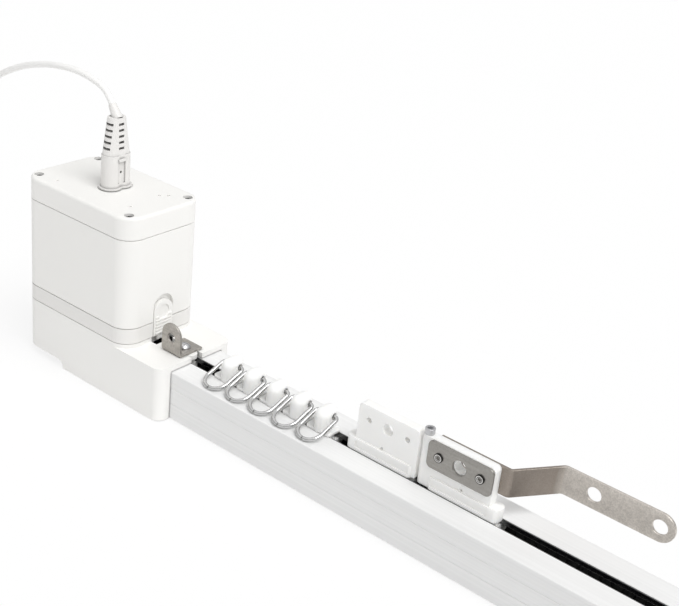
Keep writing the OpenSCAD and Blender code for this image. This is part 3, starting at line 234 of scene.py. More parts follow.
VINYL_SHINE = 0.45
VINYL_LOW, VINYL_HIGH = (0.76, 0.745, 0.725), (0.83, 0.818, 0.80)
# Painted light: the cord's jacket is a brighter copy of the soft PVC, so its lit side fades into the white
# room.
JACKET_LOW, JACKET_HIGH = (0.88, 0.875, 0.86), (0.93, 0.925, 0.915)
jacket = finish("cord_jacket", soft_vinyl(JACKET_LOW, JACKET_HIGH), Specular_IOR_Level=VINYL_SHINE)
vinyl = finish("soft_vinyl", soft_vinyl(VINYL_LOW, VINYL_HIGH), Specular_IOR_Level=VINYL_SHINE)

CORD_DIAMETER = 0.0032
EXIT = (-63.3, 0, 135)
route = [
    EXIT, (-64.13, 0, 136.26), (-65.9, 0, 138.4), (-68.1, 0, 140.3), (-70.6, 0, 141.7), (-73, 0, 142.5),
    (-78.5, -0.2, 143.7), (-85, -0.4, 144.6), (-92, -0.7, 144.7), (-101, -1, 143.9), (-108, -1, 142.7),
    (-115, -1.3, 141.1), (-125, -1.5, 138), (-135, -2, 133.7), (-145, -2, 128.3), (-154.5, -2, 121.7),
    (-162.5, -2, 114), (-168.5, -2, 105), (-172.5, -2, 95), (-174.5, -2, 84.5), (-175.3, -2, 73.5),
    (-175.5, -2, 62.5), (-175.8, -2, 52), (-177, -2, 42), (-179.8, -2, 32.7), (-184.5, -2, 24.2),
    (-190.5, -2, 18.2), (-197, -2, 15), (-202, -2, 14.3), (-206, -2, 14.3),
]
_, ROUTE_END_Y, ROUTE_END_Z = route[-1]
LINE_STEPS = 4
COIL_TURNS, COIL_LAYERS, CLIMB_TURNS = 2, 4, 0.5
COIL_IN, COIL_PITCH, COIL_RISE = 15.3, 4.3, 3.9
COIL_OUT = COIL_IN + COIL_TURNS * COIL_PITCH
COIL_X = -209.2
COIL_Y = ROUTE_END_Y - COIL_OUT
COIL_Z = ROUTE_END_Z - (COIL_LAYERS - 1) * COIL_RISE
LAYER_TURNS = COIL_TURNS + CLIMB_TURNS
ALL_TURNS = COIL_LAYERS * LAYER_TURNS - CLIMB_TURNS
COIL_STEPS = 48
PLUG_Z, LEAD_RISE = 7, 1.2


def coil_point(turn):
    """A point of the coil after that many turns from its upper end, wound inwards and outwards by turns."""
    layer = min(int(turn // LAYER_TURNS), COIL_LAYERS - 1)
    part = turn - layer * LAYER_TURNS
    spiral = min(part, COIL_TURNS) * COIL_PITCH
    radius = COIL_OUT - spiral if layer % 2 == 0 else COIL_IN + spiral
    climb = max(0, part - COIL_TURNS) / CLIMB_TURNS
    drop = layer + climb * climb * (3 - 2 * climb)
    angle = math.radians(90 + 360 * turn)
    return (
        COIL_X + radius * math.cos(angle),
        COIL_Y + radius * math.sin(angle),
        COIL_Z + (COIL_LAYERS - 1 - drop) * COIL_RISE,
    )


def smooth_line(points, steps):
    """The points with a smooth curve's points between them, through each of them."""
    rows = [Vector(p) for p in (points[0], *points, points[-1])]
    line = []
    for a, b, c, d in zip(rows, rows[1:], rows[2:], rows[3:]):
        for t in (k / steps for k in range(steps)):
            bend = (2 * a - 5 * b + 4 * c - d) * t**2 + (3 * b - a - 3 * c + d) * t**3
            line.append(0.5 * (2 * b + (c - a) * t + bend))
    return [*line, rows[-1]]


coil = [coil_point(k / COIL_STEPS) for k in range(int(ALL_TURNS * COIL_STEPS) + 1)]
lead_y = COIL_Y - COIL_OUT
lead = [
    (COIL_X + 3.2, lead_y, COIL_Z), (COIL_X + 8, lead_y, COIL_Z), (COIL_X + 13, lead_y, COIL_Z + LEAD_RISE),
    (COIL_X + 18, lead_y, PLUG_Z - LEAD_RISE), (COIL_X + 22, lead_y, PLUG_Z), (COIL_X + 26, lead_y, PLUG_Z),
    (COIL_X + 38, lead_y, PLUG_Z),
]
whole_line = (*smooth_line(route, LINE_STEPS), *coil, *smooth_line(lead, LINE_STEPS))
centreline = [Vector(p) * MM for p in whole_line]
cord_length = sum((b - a).length for a, b in zip(centreline, centreline[1:]))
cord_curve = bpy.data.curves.new("power_cord_lead", "CURVE")
cord_curve.dimensions = "3D"
cord_curve.bevel_depth = CORD_DIAMETER / 2
cord_curve.bevel_resolution = 4
cord_curve.use_fill_caps = True
strand = cord_curve.splines.new("POLY")
strand.points.add(len(centreline) - 1)
for point, place in zip(strand.points, centreline):
    point.co = (*place, 1)
strand.use_smooth = True
cord_curve.materials.append(jacket)
cord = bpy.data.objects.new("power_cord_lead", cord_curve)
scene.collection.objects.link(cord)
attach(cord, "track")
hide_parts("power_cord", "cord_coil", "plug_lead")

# Floor and light
# A wide pale sheet under the part, one broad soft light from above the rail, and an even white room.
# The room and part of the floor show as plain white, and the floor keeps the part's soft shadow.
KEY_TOWARDS = Vector((0.50, -0.09, 0.86)).normalized()
KEY_SPREAD = math.radians(38)
KEY_SHARE = 0.61
ROOM_SHARE = 0.57
WALL_GREY, WALL_FOOT, WALL_HEAD = 0.3, 0.1, 0.7
FLOOR_WHITE = 0.8
FLOOR_RADIUS, FLOOR_SIDES, FLOOR_DROP = 4, 96, 0.4 * MM
FLOOR_COLOUR = (0.91, 0.91, 0.91, 1)
PLAIN_WHITE = (1, 1, 1, 1)

key_data = bpy.data.lights.new("key_light", "SUN")
key_data.angle = KEY_SPREAD
key_data.energy = KEY_SHARE * math.pi
key = bpy.data.objects.new("key_light", key_data)
key.matrix_world = KEY_TOWARDS.to_track_quat("Z", "Y").to_matrix().to_4x4()
scene.collection.objects.link(key)


def rays(wire):
    """Three values that are 1 for what the camera sees straight, by reflection and through glass."""
    kinds = ("Camera", "Glossy", "Transmission")
    return [wire.node("ShaderNodeLightPath", output=f"Is {kind} Ray") for kind in kinds]


room = bpy.data.worlds.new("white_room")
room.use_nodes = True
scene.world = room
room_light = next(n for n in room.node_tree.nodes if n.type == "BACKGROUND")
room_light.inputs["Color"].default_value = PLAIN_WHITE
air = Wire(room.node_tree)
way = air.node("ShaderNodeTexCoord", output="Generated")
height = air.node("ShaderNodeSeparateXYZ", None, {"Vector": way}, output="Z")
wall = height.rise(WALL_FOOT, WALL_HEAD, low=WALL_GREY)
straight, mirrored, through = rays(air)
share = ROOM_SHARE + (1 - ROOM_SHARE) * (straight + through) + (wall - ROOM_SHARE) * mirrored
room.node_tree.links.new(share.socket, room_light.inputs["Strength"])

sheet = bmesh.new()
bmesh.ops.create_circle(sheet, cap_ends=True, segments=FLOOR_SIDES, radius=FLOOR_RADIUS)
floor_mesh = bpy.data.meshes.new("floor")
sheet.to_mesh(floor_mesh)
sheet.free()
floor_mesh.transform(Matrix.Translation((0, 0, -FLOOR_DROP)))
floor = bpy.data.objects.new("floor", floor_mesh)
scene.collection.objects.link(floor)


def matt_sheet(wire):
    return {"Roughness": 0.7 + 0.2 * wire.grain(8)}


pale = finish("pale_floor", matt_sheet, Base_Color=FLOOR_COLOUR)
nodes = pale.node_tree.nodes
ground = Wire(pale.node_tree)
lit = Wire(pale.node_tree, next(n for n in nodes if n.type == "BSDF_PRINCIPLED").outputs["BSDF"])
white = ground.node("ShaderNodeEmission", None, {"Color": PLAIN_WHITE, "Strength": 1.0})
straight, mirrored, through = rays(ground)
whitened = (straight + mirrored + through) * FLOOR_WHITE
shown = ground.node("ShaderNodeMixShader", None, {0: whitened, 1: lit, 2: white})
surface = next(n for n in nodes if n.type == "OUTPUT_MATERIAL").inputs["Surface"]
pale.node_tree.links.new(shown.socket, surface)
floor_mesh.materials.append(pale)
floor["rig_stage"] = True

# Rail
# An aluminium extrusion with a white satin coat, open along its top for the runners' necks.
# Two grooves and fine drawing lines run along each side, as the die leaves them.
SHARP_ANGLE = math.radians(38)
SAME_FACE_ANGLE = math.radians(0.5)
FLAT_ANGLE = math.radians(0.3)
SAME_POINT = 2e-6
FACE_WEIGHT = 80
EASING_STEPS = 2
FILL_OUTLINES, FILL_TOLERANCE = 1, 1e-6


def plain_mesh(piece):
    """Turns what an object's modifiers show into its own plain mesh."""
    shown = piece.evaluated_get(bpy.context.evaluated_depsgraph_get())
    mesh = bpy.data.meshes.new_from_object(shown)
    piece.modifiers.clear()
    piece.data = mesh
    return mesh


def even_shading(piece):
    """Keeps flat faces flat and round ones round, by weighing each corner's normal by its faces' areas."""
    piece.data.shade_smooth()
    piece.data.set_sharp_from_angle(angle=SHARP_ANGLE)
    weigh = piece.modifiers.new("even shading", "WEIGHTED_NORMAL")
    weigh.mode = "FACE_AREA"
    weigh.weight = FACE_WEIGHT
    weigh.keep_sharp = True


def edge_groups(edges):
    """Splits edges into runs that touch, so that each run is eased on its own, always in the same order."""
    left = dict.fromkeys(edges)
    for first in edges:
        if first not in left:
            continue
        del left[first]
        run, fresh = [], [first]
        while fresh:
            edge = fresh.pop()
            run.append(edge)
            for near in (e for v in edge.verts for e in v.link_edges):
                if near in left:
                    del left[near]
                    fresh.append(near)
        yield run


def flat_region(start, left):
    """The faces that lie flat with the first one and join it, in order. They are taken out of those left."""
    left.discard(start)
    flat, fresh = {start: None}, [start]
    while fresh:
        for edge in fresh.pop().edges:
            if edge.calc_face_angle(1) < FLAT_ANGLE:
                more = [f for f in edge.link_faces if f in left]
                left.difference_update(more)
                flat.update(dict.fromkeys(more))
                fresh.extend(more)
    return flat


def inside(point, sides):
    """Whether a line from the point crosses the outline and its holes an odd number of times."""
    crossed = 0
    for a, b in sides:
        if (a.y > point.y) != (b.y > point.y):
            crossed += point.x < a.x + (b.x - a.x) * (point.y - a.y) / (b.y - a.y)
    return crossed % 2 == 1


def recut(shape):
    """Fills each flat face anew from its outline and holes. False if an eased outline crosses itself."""
    left = set(shape.faces)
    for start in [f for f in shape.faces if len(f.verts) > 4]:
        if start not in left:
            continue
        flat = flat_region(start, left)
        normal = max(flat, key=lambda f: f.calc_area()).normal.copy()
        across = normal.orthogonal()
        up = normal.cross(across)
        bounds = dict.fromkeys(e for f in flat for e in f.edges)
        rim = [e for e in bounds if sum(f in flat for f in e.link_faces) == 1]
        corners = list(dict.fromkeys(v for e in rim for v in e.verts))
        place = {v: k for k, v in enumerate(corners)}
        flat_points = [Vector((v.co.dot(across), v.co.dot(up))) / MM for v in corners]
        sides = [(place[e.verts[0]], place[e.verts[1]]) for e in rim]
        points, _, faces, sources, _, _ = delaunay_2d_cdt(
            flat_points, sides, [], FILL_OUTLINES, FILL_TOLERANCE
        )
        if not all(sources):
            return False
        bmesh.ops.delete(shape, geom=list(flat), context="FACES")
        outline = [(flat_points[a], flat_points[b]) for a, b in sides]
        for face in faces:
            middle = sum((points[k] for k in face), Vector((0, 0))) / len(face)
            if inside(middle, outline):
                shape.faces.new([corners[sources[k][0]] for k in face])
    return True


def eased(mesh, edge):
    """A copy of the mesh with its sharp edges eased by that much, or by less where that doesn't fit."""
    for width in (edge, edge / 2, edge / 4):
        shape = bmesh.new()
        shape.from_mesh(mesh)
        bmesh.ops.remove_doubles(shape, verts=shape.verts, dist=SAME_POINT)
        bmesh.ops.dissolve_limit(
            shape, angle_limit=SAME_FACE_ANGLE, verts=shape.verts, edges=shape.edges
        )
        sharp = [e for e in shape.edges if e.calc_face_angle(0) > SHARP_ANGLE]
        for run in list(edge_groups(sharp)):
            bmesh.ops.bevel(
                shape,
                geom=run,
                offset=width,
                segments=EASING_STEPS,
                profile=0.5,
                affect="EDGES",
                clamp_overlap=True,
                loop_slide=False,
            )
        if recut(shape):
            return shape
        shape.free()
    shape = bmesh.new()
    shape.from_mesh(mesh)
    return shape


def dress(names, edge, material):
    """Shows each node's own shape with its sharp edges eased by that much, in one finish."""
    for name in names:
        solid = frame["nodes"][name]
        shape = eased(solid.data, edge)
        mesh = bpy.data.meshes.new(name + "_finished")
        shape.to_mesh(mesh)
        shape.free()
        piece = bpy.data.objects.new(name + "_finished", mesh)
        scene.collection.objects.link(piece)
        even_shading(piece)
        mesh = plain_mesh(piece)
        mesh.materials.clear()
        mesh.materials.append(material)
        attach(piece, solid["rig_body"])
        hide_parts(name)


def coat(names, material):
    """Gives nodes that lie inside the housings their finish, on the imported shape."""
    for name in names:
        mesh = frame["nodes"][name].data
        mesh.materials.clear()
        mesh.materials.append(material)


def open_group(name, sockets):
    """A new node group with named inputs: its wire, its inputs' identifiers, and their wires."""
    group = bpy.data.node_groups.new(name, "GeometryNodeTree")
    group.interface.new_socket("Geometry", in_out="OUTPUT", socket_type="NodeSocketGeometry")
    identifiers = {}
    for socket, kind in sockets.items():
        made = group.interface.new_socket(socket, in_out="INPUT", socket_type="NodeSocket" + kind)
        identifiers[socket] = made.identifier
    flow = Wire(group)
    given = {socket: flow.node("NodeGroupInput", output=socket) for socket in sockets}
    return flow, identifiers, given


def close_group(flow, geometry, material):
    """Ends a node group with real geometry in one material."""
    whole = flow.node("GeometryNodeRealizeInstances", None, {"Geometry": geometry})
    coated = flow.node("GeometryNodeSetMaterial", None, {"Geometry": whole, "Material": material})
    flow.tree.links.new(coated.socket, flow.tree.nodes.new("NodeGroupOutput").inputs["Geometry"])


def grown(name, flow, identifiers, values):
    """An object with the plain mesh that a node group makes from the values of its inputs."""
    piece = bpy.data.objects.new(name, bpy.data.meshes.new(name))
    scene.collection.objects.link(piece)
    growth = piece.modifiers.new(flow.tree.name, "NODES")
    growth.node_group = flow.tree
    for socket, value in values.items():
        growth[identifiers[socket]] = value
    plain_mesh(piece)
    even_shading(piece)
    plain_mesh(piece)
    return piece


def satin_coat(wire):
    die = wire.grain(900, stretch=(0.004, 1, 1), detail=4)
    cloud = wire.grain(14)
    return {
        "Base Color": (0.8 * die + 0.2 * cloud).blend((0.76, 0.76, 0.758), (0.90, 0.90, 0.896)),
        "Roughness": 0.30 + 0.18 * die,
        "Normal": wire.bump(die, 0.03 * MM),
    }


rail_coat = finish("satin_coated_aluminium", satin_coat, Metallic=0.0, Specular_IOR_Level=0.5)
RAIL_START, RAIL_END = -14 * MM, 664 * MM
RAIL_HALF, RAIL_TOP, RAIL_WALL, FLANGE_UNDER = 16.5, 25, 1.4, 23.2
SLOT_HALF, EDGE_RADIUS, EDGE_STEPS, SLOT_EDGE = 3.5, 0.6, 4, 0.2
GROOVE_HALF, GROOVE_DEPTH = 0.3, 0.2
LINE_HALF, LINE_DEPTH = 0.09, 0.04
LINE_HEIGHTS = (2.2, 3.4, 6.1, 9.9, 11.2, 13.6, 15.1, 18.3, 19.4, 21.2, 22.9)
grooves = [(RAIL_TOP * part / 3, GROOVE_HALF, GROOVE_DEPTH) for part in (1, 2)]
die_lines = [(z, LINE_HALF, LINE_DEPTH) for z in LINE_HEIGHTS]


def rail_corner(z, sign):
    """Points of a rounded outside corner, from the top or the bottom to the side."""
    angles = [math.radians(90 - 90 * k / EDGE_STEPS) for k in range(EDGE_STEPS + 1)]
    middle = RAIL_HALF - EDGE_RADIUS
    return [
        (middle + EDGE_RADIUS * math.cos(a), z - sign * (EDGE_RADIUS - EDGE_RADIUS * math.sin(a)))
        for a in angles
    ]


side = [(SLOT_HALF, RAIL_TOP - SLOT_EDGE), (SLOT_HALF + SLOT_EDGE, RAIL_TOP), *rail_corner(RAIL_TOP, 1)]
for z, half, depth in sorted(grooves + die_lines, reverse=True):
    side += [
        (RAIL_HALF, z + half),
        (RAIL_HALF - depth, z + half / 3),
        (RAIL_HALF - depth, z - half / 3),
        (RAIL_HALF, z - half),
    ]
side += reversed(rail_corner(0, -1))
inner = RAIL_HALF - RAIL_WALL
bore = [(inner, RAIL_WALL), (inner, FLANGE_UNDER), (SLOT_HALF, FLANGE_UNDER)]
around = [*side, *((-y, z) for y, z in reversed(side)), *((-y, z) for y, z in reversed(bore)), *bore]

section_curve = bpy.data.curves.new("rail_section", "CURVE")
section_curve.dimensions = "3D"
loop = section_curve.splines.new("POLY")
loop.points.add(len(around) - 1)
loop.use_cyclic_u = True
for point, (y, z) in zip(loop.points, reversed(around)):
    point.co = (-y * MM, -z * MM, 0, 1)
section = bpy.data.objects.new("rail_section", section_curve)
scene.collection.objects.link(section)

flow, identifiers, given = open_group(
    "rail_extrusion", {"Section": "Object", "Start": "Float", "End": "Float", "Coat": "Material"}
)
ends = {name: flow.node("ShaderNodeCombineXYZ", None, {"X": given[name]}) for name in ("Start", "End")}
line = flow.node("GeometryNodeCurvePrimitiveLine", {"mode": "POINTS"}, ends)
outline = flow.node("GeometryNodeObjectInfo", None, {"Object": given["Section"]}, output="Geometry")
swept = flow.node(
    "GeometryNodeCurveToMesh", None, {"Curve": line, "Profile Curve": outline, "Fill Caps": True}
)
close_group(flow, swept, given["Coat"])
rail = grown(
    "rail_finished",
    flow,
    identifiers,
    {"Section": section, "Start": RAIL_START, "End": RAIL_END, "Coat": rail_coat},
)
bpy.data.objects.remove(section)
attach(rail, "track")
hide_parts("rail")

# Glide strips
# Two L-shaped profiles of black nylon, pushed into the rail so that they line the slot's edges.
# The wheels run on their undersides.
STRIP_EDGE = 0.28 * MM
# Painted highlight: the strips are paler along their upper edge, standing in for the light line their lips
# reflect.
HIGHLIGHT_FROM, HIGHLIGHT_TO = 24.6 * MM, 24.95 * MM


def drawn_nylon(wire):
    """Black nylon, with a painted highlight: paler along its upper edge."""
    streak, fine = wire.grain(700, stretch=(0.01, 1, 1)), wire.grain(2200)
    painted_reflection = wire.along("Z").rise(HIGHLIGHT_FROM, HIGHLIGHT_TO)
    return {
        "Base Color": (painted_reflection * (0.6 + 0.4 * streak)).blend((0.006, 0.006, 0.007), (0.16, 0.16, 0.165)),
        "Roughness": 0.12 + 0.14 * streak,
        "Normal": wire.bump(fine, 0.03 * MM),
    }


black_nylon = finish(
    "black_drawn_nylon", drawn_nylon, Specular_IOR_Level=0.8, Coat_Weight=0.8, Coat_Roughness=0.08
)
dress(["glide_strip_front", "glide_strip_rear"], STRIP_EDGE, black_nylon)

# Toothed belt
# A closed loop of black rubber with cords in its back and teeth on its inner side.
# It runs round the drive pulley and the idler pulley, and the carriers are clamped to its front run.
belt_rubber = clouded(
    low=(0.010, 0.010, 0.010),
    high=(0.030, 0.030, 0.029),
    clouds=120,
    grains=2600,
    roughness=(0.55, 0.80),
    depth=0.06 * MM,
)
rubber = finish("belt_rubber", belt_rubber)
coat(["drive_belt"], rubber)

# Drive housing, motor and idler housing
# Injection-moulded shells in white ABS with a fine spark-eroded grain on the outside.
# The motor's two caps are screwed to its case, and its collar locks into the housing like a bayonet.
HOUSING_EDGE, IDLER_EDGE = 0.6 * MM, 0.12 * MM
MOTOR_EDGE, COVER_EDGE = 0.25 * MM, 0.3 * MM
# Painted shade: the housing goes dark where the rail enters, the more so the more hidden a point is.
MOUTH_START, MOUTH_REACH = -3 * MM, 1.2 * MM
MOUTH_SHADE = (0.05, 0.05, 0.05)
ABS_SHINE = 0.45
WHITE_LOW, WHITE_HIGH = (0.87, 0.862, 0.838), (0.905, 0.898, 0.876)
# Painted light: a brighter copy of the white moulding, standing in for the floor's bounce on the lower
# housings.
PAINTED_LIGHT_LOW, PAINTED_LIGHT_HIGH = (0.885, 0.878, 0.856), (0.912, 0.905, 0.884)
# Painted shade: a darker copy of the white moulding, for the shaded band of the motor's base cap.
PAINTED_SHADE_LOW, PAINTED_SHADE_HIGH = (0.80, 0.79, 0.77), (0.84, 0.83, 0.81)


def moulded(low, high):
    """A way to paint a grained moulding between two near tones."""

    def paint(wire):
        cloud, fine, streams = wire.grain(9), wire.grain(2400, detail=2), wire.grain(55)
        return {
            "Base Color": cloud.blend(low, high),
            "Roughness": 0.30 + 0.12 * streams + 0.08 * fine,
            "Normal": wire.bump(fine, 0.03 * MM),
        }

    return paint


def housing_white(wire):
    """The moulding in a brighter tone that is painted light, with painted shade in the narrow gap where the
    rail enters.
    """
    sockets = moulded(PAINTED_LIGHT_LOW, PAINTED_LIGHT_HIGH)(wire)
    # Painted shade in the rail's gap.
    mouth = wire.math("GREATER_THAN", wire.along("X"), MOUTH_START)
    shade = mouth * wire.hollow(MOUTH_REACH)
    sockets["Base Color"] = shade.blend(sockets["Base Color"], MOUTH_SHADE)
    return sockets


abs_white = finish("moulded_white", moulded(WHITE_LOW, WHITE_HIGH), Specular_IOR_Level=ABS_SHINE)
# This finish paints light with its brighter tone and paints shade in the rail's gap.
abs_painted_light_and_shade = finish("moulded_white_painted_light_and_shade", housing_white, Specular_IOR_Level=ABS_SHINE)
abs_painted_shade = finish("moulded_white_painted_shade", moulded(PAINTED_SHADE_LOW, PAINTED_SHADE_HIGH), Specular_IOR_Level=ABS_SHINE)
dress(["drive_housing"], HOUSING_EDGE, abs_painted_light_and_shade)
dress(["idler_housing"], IDLER_EDGE, abs_painted_light_and_shade)
dress(["motor_case", "motor_top_cap"], MOTOR_EDGE, abs_white)
# The base cap takes the darker copy, which is painted shade.
dress(["motor_base_cap"], MOTOR_EDGE, abs_painted_shade)
dress(["drive_cover", "idler_cover", "release_latch"], COVER_EDGE, abs_white)


# Motor's inside
# A steel motor can over a planetary gearbox, whose red nylon hub takes the pulley's splines.
# A circuit board stands beside them, and the white inlet hangs in the top cap.
def turned_steel(wire):
    ring, cloud = wire.grain(1500, stretch=(1, 1, 0.05)), wire.grain(40)
    return {
        "Base Color": ring.blend((0.42, 0.42, 0.43), (0.60, 0.60, 0.61)),
        "Roughness": 0.22 + 0.2 * cloud,
        "Normal": wire.bump(ring, 0.03 * MM),
    }


def blackened(wire):
    cloud, fine = wire.grain(60), wire.grain(1600)
    return {
        "Base Color": cloud.blend((0.05, 0.05, 0.055), (0.10, 0.10, 0.105)),
        "Roughness": 0.4 + 0.2 * fine,
        "Normal": wire.bump(fine, 0.04 * MM),
    }


def red_polyamide(wire):
    cloud, fine = wire.grain(80), wire.grain(2000)
    return {
        "Base Color": cloud.blend((0.42, 0.008, 0.018), (0.55, 0.015, 0.028)),
        "Roughness": 0.35 + 0.15 * fine,
        "Normal": wire.bump(fine, 0.03 * MM),
    }


def solder_mask(wire):
    tracks, cloud = wire.grain(450, stretch=(1, 0.2, 1), detail=0), wire.grain(90)
    return {
        "Base Color": tracks.blend((0.006, 0.09, 0.035), (0.02, 0.20, 0.08)),
        "Roughness": 0.25 + 0.2 * cloud,
        "Normal": wire.bump(tracks, 0.03 * MM),
    }


steel = finish("turned_steel", turned_steel, Metallic=1.0)
dark_metal = finish("blackened_metal", blackened, Metallic=0.6)
red_nylon = finish("red_polyamide", red_polyamide)
board_green = finish("solder_mask", solder_mask)
coat(["drive_axle", "idler_axle", "dc_motor"], steel)
coat(["planetary_gearbox"], dark_metal)
coat(["output_hub"], red_nylon)
coat(["control_board"], board_green)
coat(["power_inlet"], abs_white)

# Pulleys and wheels
# White acetal, turned by the belt or rolling on the glide strips.
# Each runner has two wheels on one axle and each carrier has four.
RUNNERS = 5
runner_names = [f"runner_{i}" for i in range(1, RUNNERS + 1)]
carrier_names = ["trailing", "leading"]
acetal = clouded(
    low=(0.82, 0.815, 0.79),
    high=(0.89, 0.885, 0.865),
    clouds=50,
    grains=1500,
    roughness=(0.26, 0.44),
    depth=0.03 * MM,
)
slick = finish("white_acetal", acetal)
coat(["drive_pulley", "idler_pulley"], slick)
coat([n + "_wheels" for n in runner_names], slick)
coat([f"{n}_wheels_{end}" for n in carrier_names for end in "ab"], slick)

# Screws
# Sixteen zinc-plated cross-head screws hold the motor's caps and the two bottom covers.
# Their pan heads sit in round counterbores, each stopped at its own angle.
UP, DOWN = 1, -1
CAP_HEAD, COVER_HEAD = 1.2, 0.8
CAP_SHANK, COVER_SHANK = 16, 4.7
SHANK_RADIUS, SHANK_SIDES, HEAD_SIDES = 1.1, 20, 36
TOP_CAP_Z, BASE_CAP_Z, COVER_Z = 94.2, 30.3, 0.1
CAP_X, CAP_Y = (-93.5, -29.5), 18.5
DRIVE_COVER_X, DRIVE_COVER_Y = (-62.4, -20.6), 17.2
IDLER_COVER_X, IDLER_COVER_Y = (670.1, 696.4), 15.2
BAR_FOOT, BAR_TOP, BAR_HALF = (1.3, -0.7), (1.5, 0.3), 0.28
TURN_STEP, CROSS_REPEAT = 37, 90
HEAD_OUTLINE = [
    (0, 0), (0.8, -0.03), (1.35, -0.12), (1.75, -0.3), (1.93, -0.52), (2, -0.75),
    (2, -CAP_HEAD), (0, -CAP_HEAD),
]
screw_rows = [
    (CAP_X, CAP_Y, TOP_CAP_Z, UP, CAP_SHANK, CAP_HEAD),
    (CAP_X, CAP_Y, BASE_CAP_Z, DOWN, CAP_SHANK, CAP_HEAD),
    (DRIVE_COVER_X, DRIVE_COVER_Y, COVER_Z, DOWN, COVER_SHANK, COVER_HEAD),
    (IDLER_COVER_X, IDLER_COVER_Y, COVER_Z, DOWN, COVER_SHANK, COVER_HEAD),
]
spots = [(x, y, *rest) for xs, half, *rest in screw_rows for x in xs for y in (-half, half)]


def helper_object(name, mesh):
    """An object that only feeds a node group and is removed afterwards."""
    made = bpy.data.objects.new(name, mesh)
    scene.collection.objects.link(made)
    return made


def turned_form(name, outline, steps):
    """A closed mesh turned from an outline of radii and heights, which starts and ends on the axis."""
    points, rings, faces = [], [], []
    for r, z in outline:
        angles = [math.tau * k / steps for k in range(steps)] if r else [0]
        rings.append([len(points) + k % len(angles) for k in range(steps + 1)])
        points += [Vector((r * math.cos(a), r * math.sin(a), z)) * MM for a in angles]
    for upper, lower in zip(rings, rings[1:]):
        for k in range(steps):
            faces.append(list(dict.fromkeys((upper[k], lower[k], lower[k + 1], upper[k + 1]))))
    mesh = bpy.data.meshes.new(name)
    mesh.from_pydata(points, [], faces)
    return mesh


def cross_bar(name):
    """One bar of the driver's cross, narrower at its bottom."""
    bar = bmesh.new()
    bmesh.ops.create_cube(bar, size=1)
    for v in bar.verts:
        wide, deep = BAR_FOOT if v.co.z < 0 else BAR_TOP
        v.co = Vector((math.copysign(wide, v.co.x), math.copysign(BAR_HALF, v.co.y), deep)) * MM
    mesh = bpy.data.meshes.new(name)
    bar.to_mesh(mesh)
    bar.free()
    return mesh


places_mesh = bpy.data.meshes.new("screw_places")
places_mesh.from_pydata([Vector(s[:3]) * MM for s in spots], [], [])
FIELDS = ("turn", "head", "seat", "shank")
for name in FIELDS:
    places_mesh.attributes.new(name, "FLOAT_VECTOR", "POINT")
for k, (x, y, z, way, length, head) in enumerate(spots):
    turn = (0 if way == UP else math.pi, 0, math.radians(TURN_STEP * k % CROSS_REPEAT))
    rows = (turn, (1, 1, head / CAP_HEAD), (0, 0, -way * head * MM), (1, 1, length))
    for name, row in zip(FIELDS, rows):
        places_mesh.attributes[name].data[k].vector = row
helpers = {
    "Places": helper_object("screw_places", places_mesh),
    "Head": helper_object("screw_head", turned_form("screw_head", HEAD_OUTLINE, HEAD_SIDES)),
    "Bar": helper_object("screw_bar", cross_bar("screw_bar")),
}

flow, identifiers, given = open_group(
    "cross_head_screws", {"Places": "Object", "Head": "Object", "Bar": "Object", "Plating": "Material"}
)
shapes = {
    name: flow.node("GeometryNodeObjectInfo", None, {"Object": given[name]}, output="Geometry")
    for name in helpers
}
field = {
    name: flow.node(
        "GeometryNodeInputNamedAttribute", {"data_type": "FLOAT_VECTOR"}, {"Name": name}, output="Attribute"
    )
    for name in FIELDS
}
quarter_turn = (0, 0, math.pi / 2)
crossed = flow.node("GeometryNodeTransform", None, {"Geometry": shapes["Bar"], "Rotation": quarter_turn})
slotted = shapes["Head"]
for bar in (shapes["Bar"], crossed):
    slotted = flow.node(
        "GeometryNodeMeshBoolean",
        {"operation": "DIFFERENCE", "solver": "MANIFOLD"},
        {"Mesh 1": slotted, "Mesh 2": bar},
    )
rod = flow.node(
    "GeometryNodeMeshCylinder",
    None,
    {"Vertices": SHANK_SIDES, "Radius": SHANK_RADIUS * MM, "Depth": MM},
    output="Mesh",
)
shank = flow.node("GeometryNodeTransform", None, {"Geometry": rod, "Translation": (0, 0, -MM / 2)})
heads = flow.node(
    "GeometryNodeInstanceOnPoints",
    None,
    {"Points": shapes["Places"], "Instance": slotted, "Rotation": field["turn"], "Scale": field["head"]},
)
seats = flow.node("GeometryNodeSetPosition", None, {"Geometry": shapes["Places"], "Offset": field["seat"]})
shanks = flow.node(
    "GeometryNodeInstanceOnPoints",
    None,
    {"Points": seats, "Instance": shank, "Rotation": field["turn"], "Scale": field["shank"]},
)
both = flow.tree.nodes.new("GeometryNodeJoinGeometry")
for part in (heads, shanks):
    flow.tree.links.new(part.socket, both.inputs["Geometry"])
close_group(flow, Wire(flow.tree, both.outputs["Geometry"]), given["Plating"])

# Painted shade: the screws are much darker than plain zinc, standing in for the shadow in their
# counterbores.
painted_shade_zinc = clouded(
    low=(0.07, 0.07, 0.073),
    high=(0.22, 0.22, 0.226),
    clouds=500,
    grains=1800,
    roughness=(0.28, 0.48),
    depth=0.03 * MM,
)
zinc = finish("painted_shade_zinc", painted_shade_zinc, Metallic=1.0)
screws = grown("case_screws_finished", flow, identifiers, {**helpers, "Plating": zinc})
for helper in helpers.values():
    bpy.data.objects.remove(helper)
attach(screws, "track")
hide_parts("case_screws")

# End stop and end hook
# A white moulded stop closes the slot in the neck, and a bent steel tab with an eye is screwed to it.
# The last curtain hook hangs in that eye.
STOP_EDGE, HOOK_EDGE, HOOK_SCREW_EDGE = 0.3 * MM, 0.2 * MM, 0.15 * MM


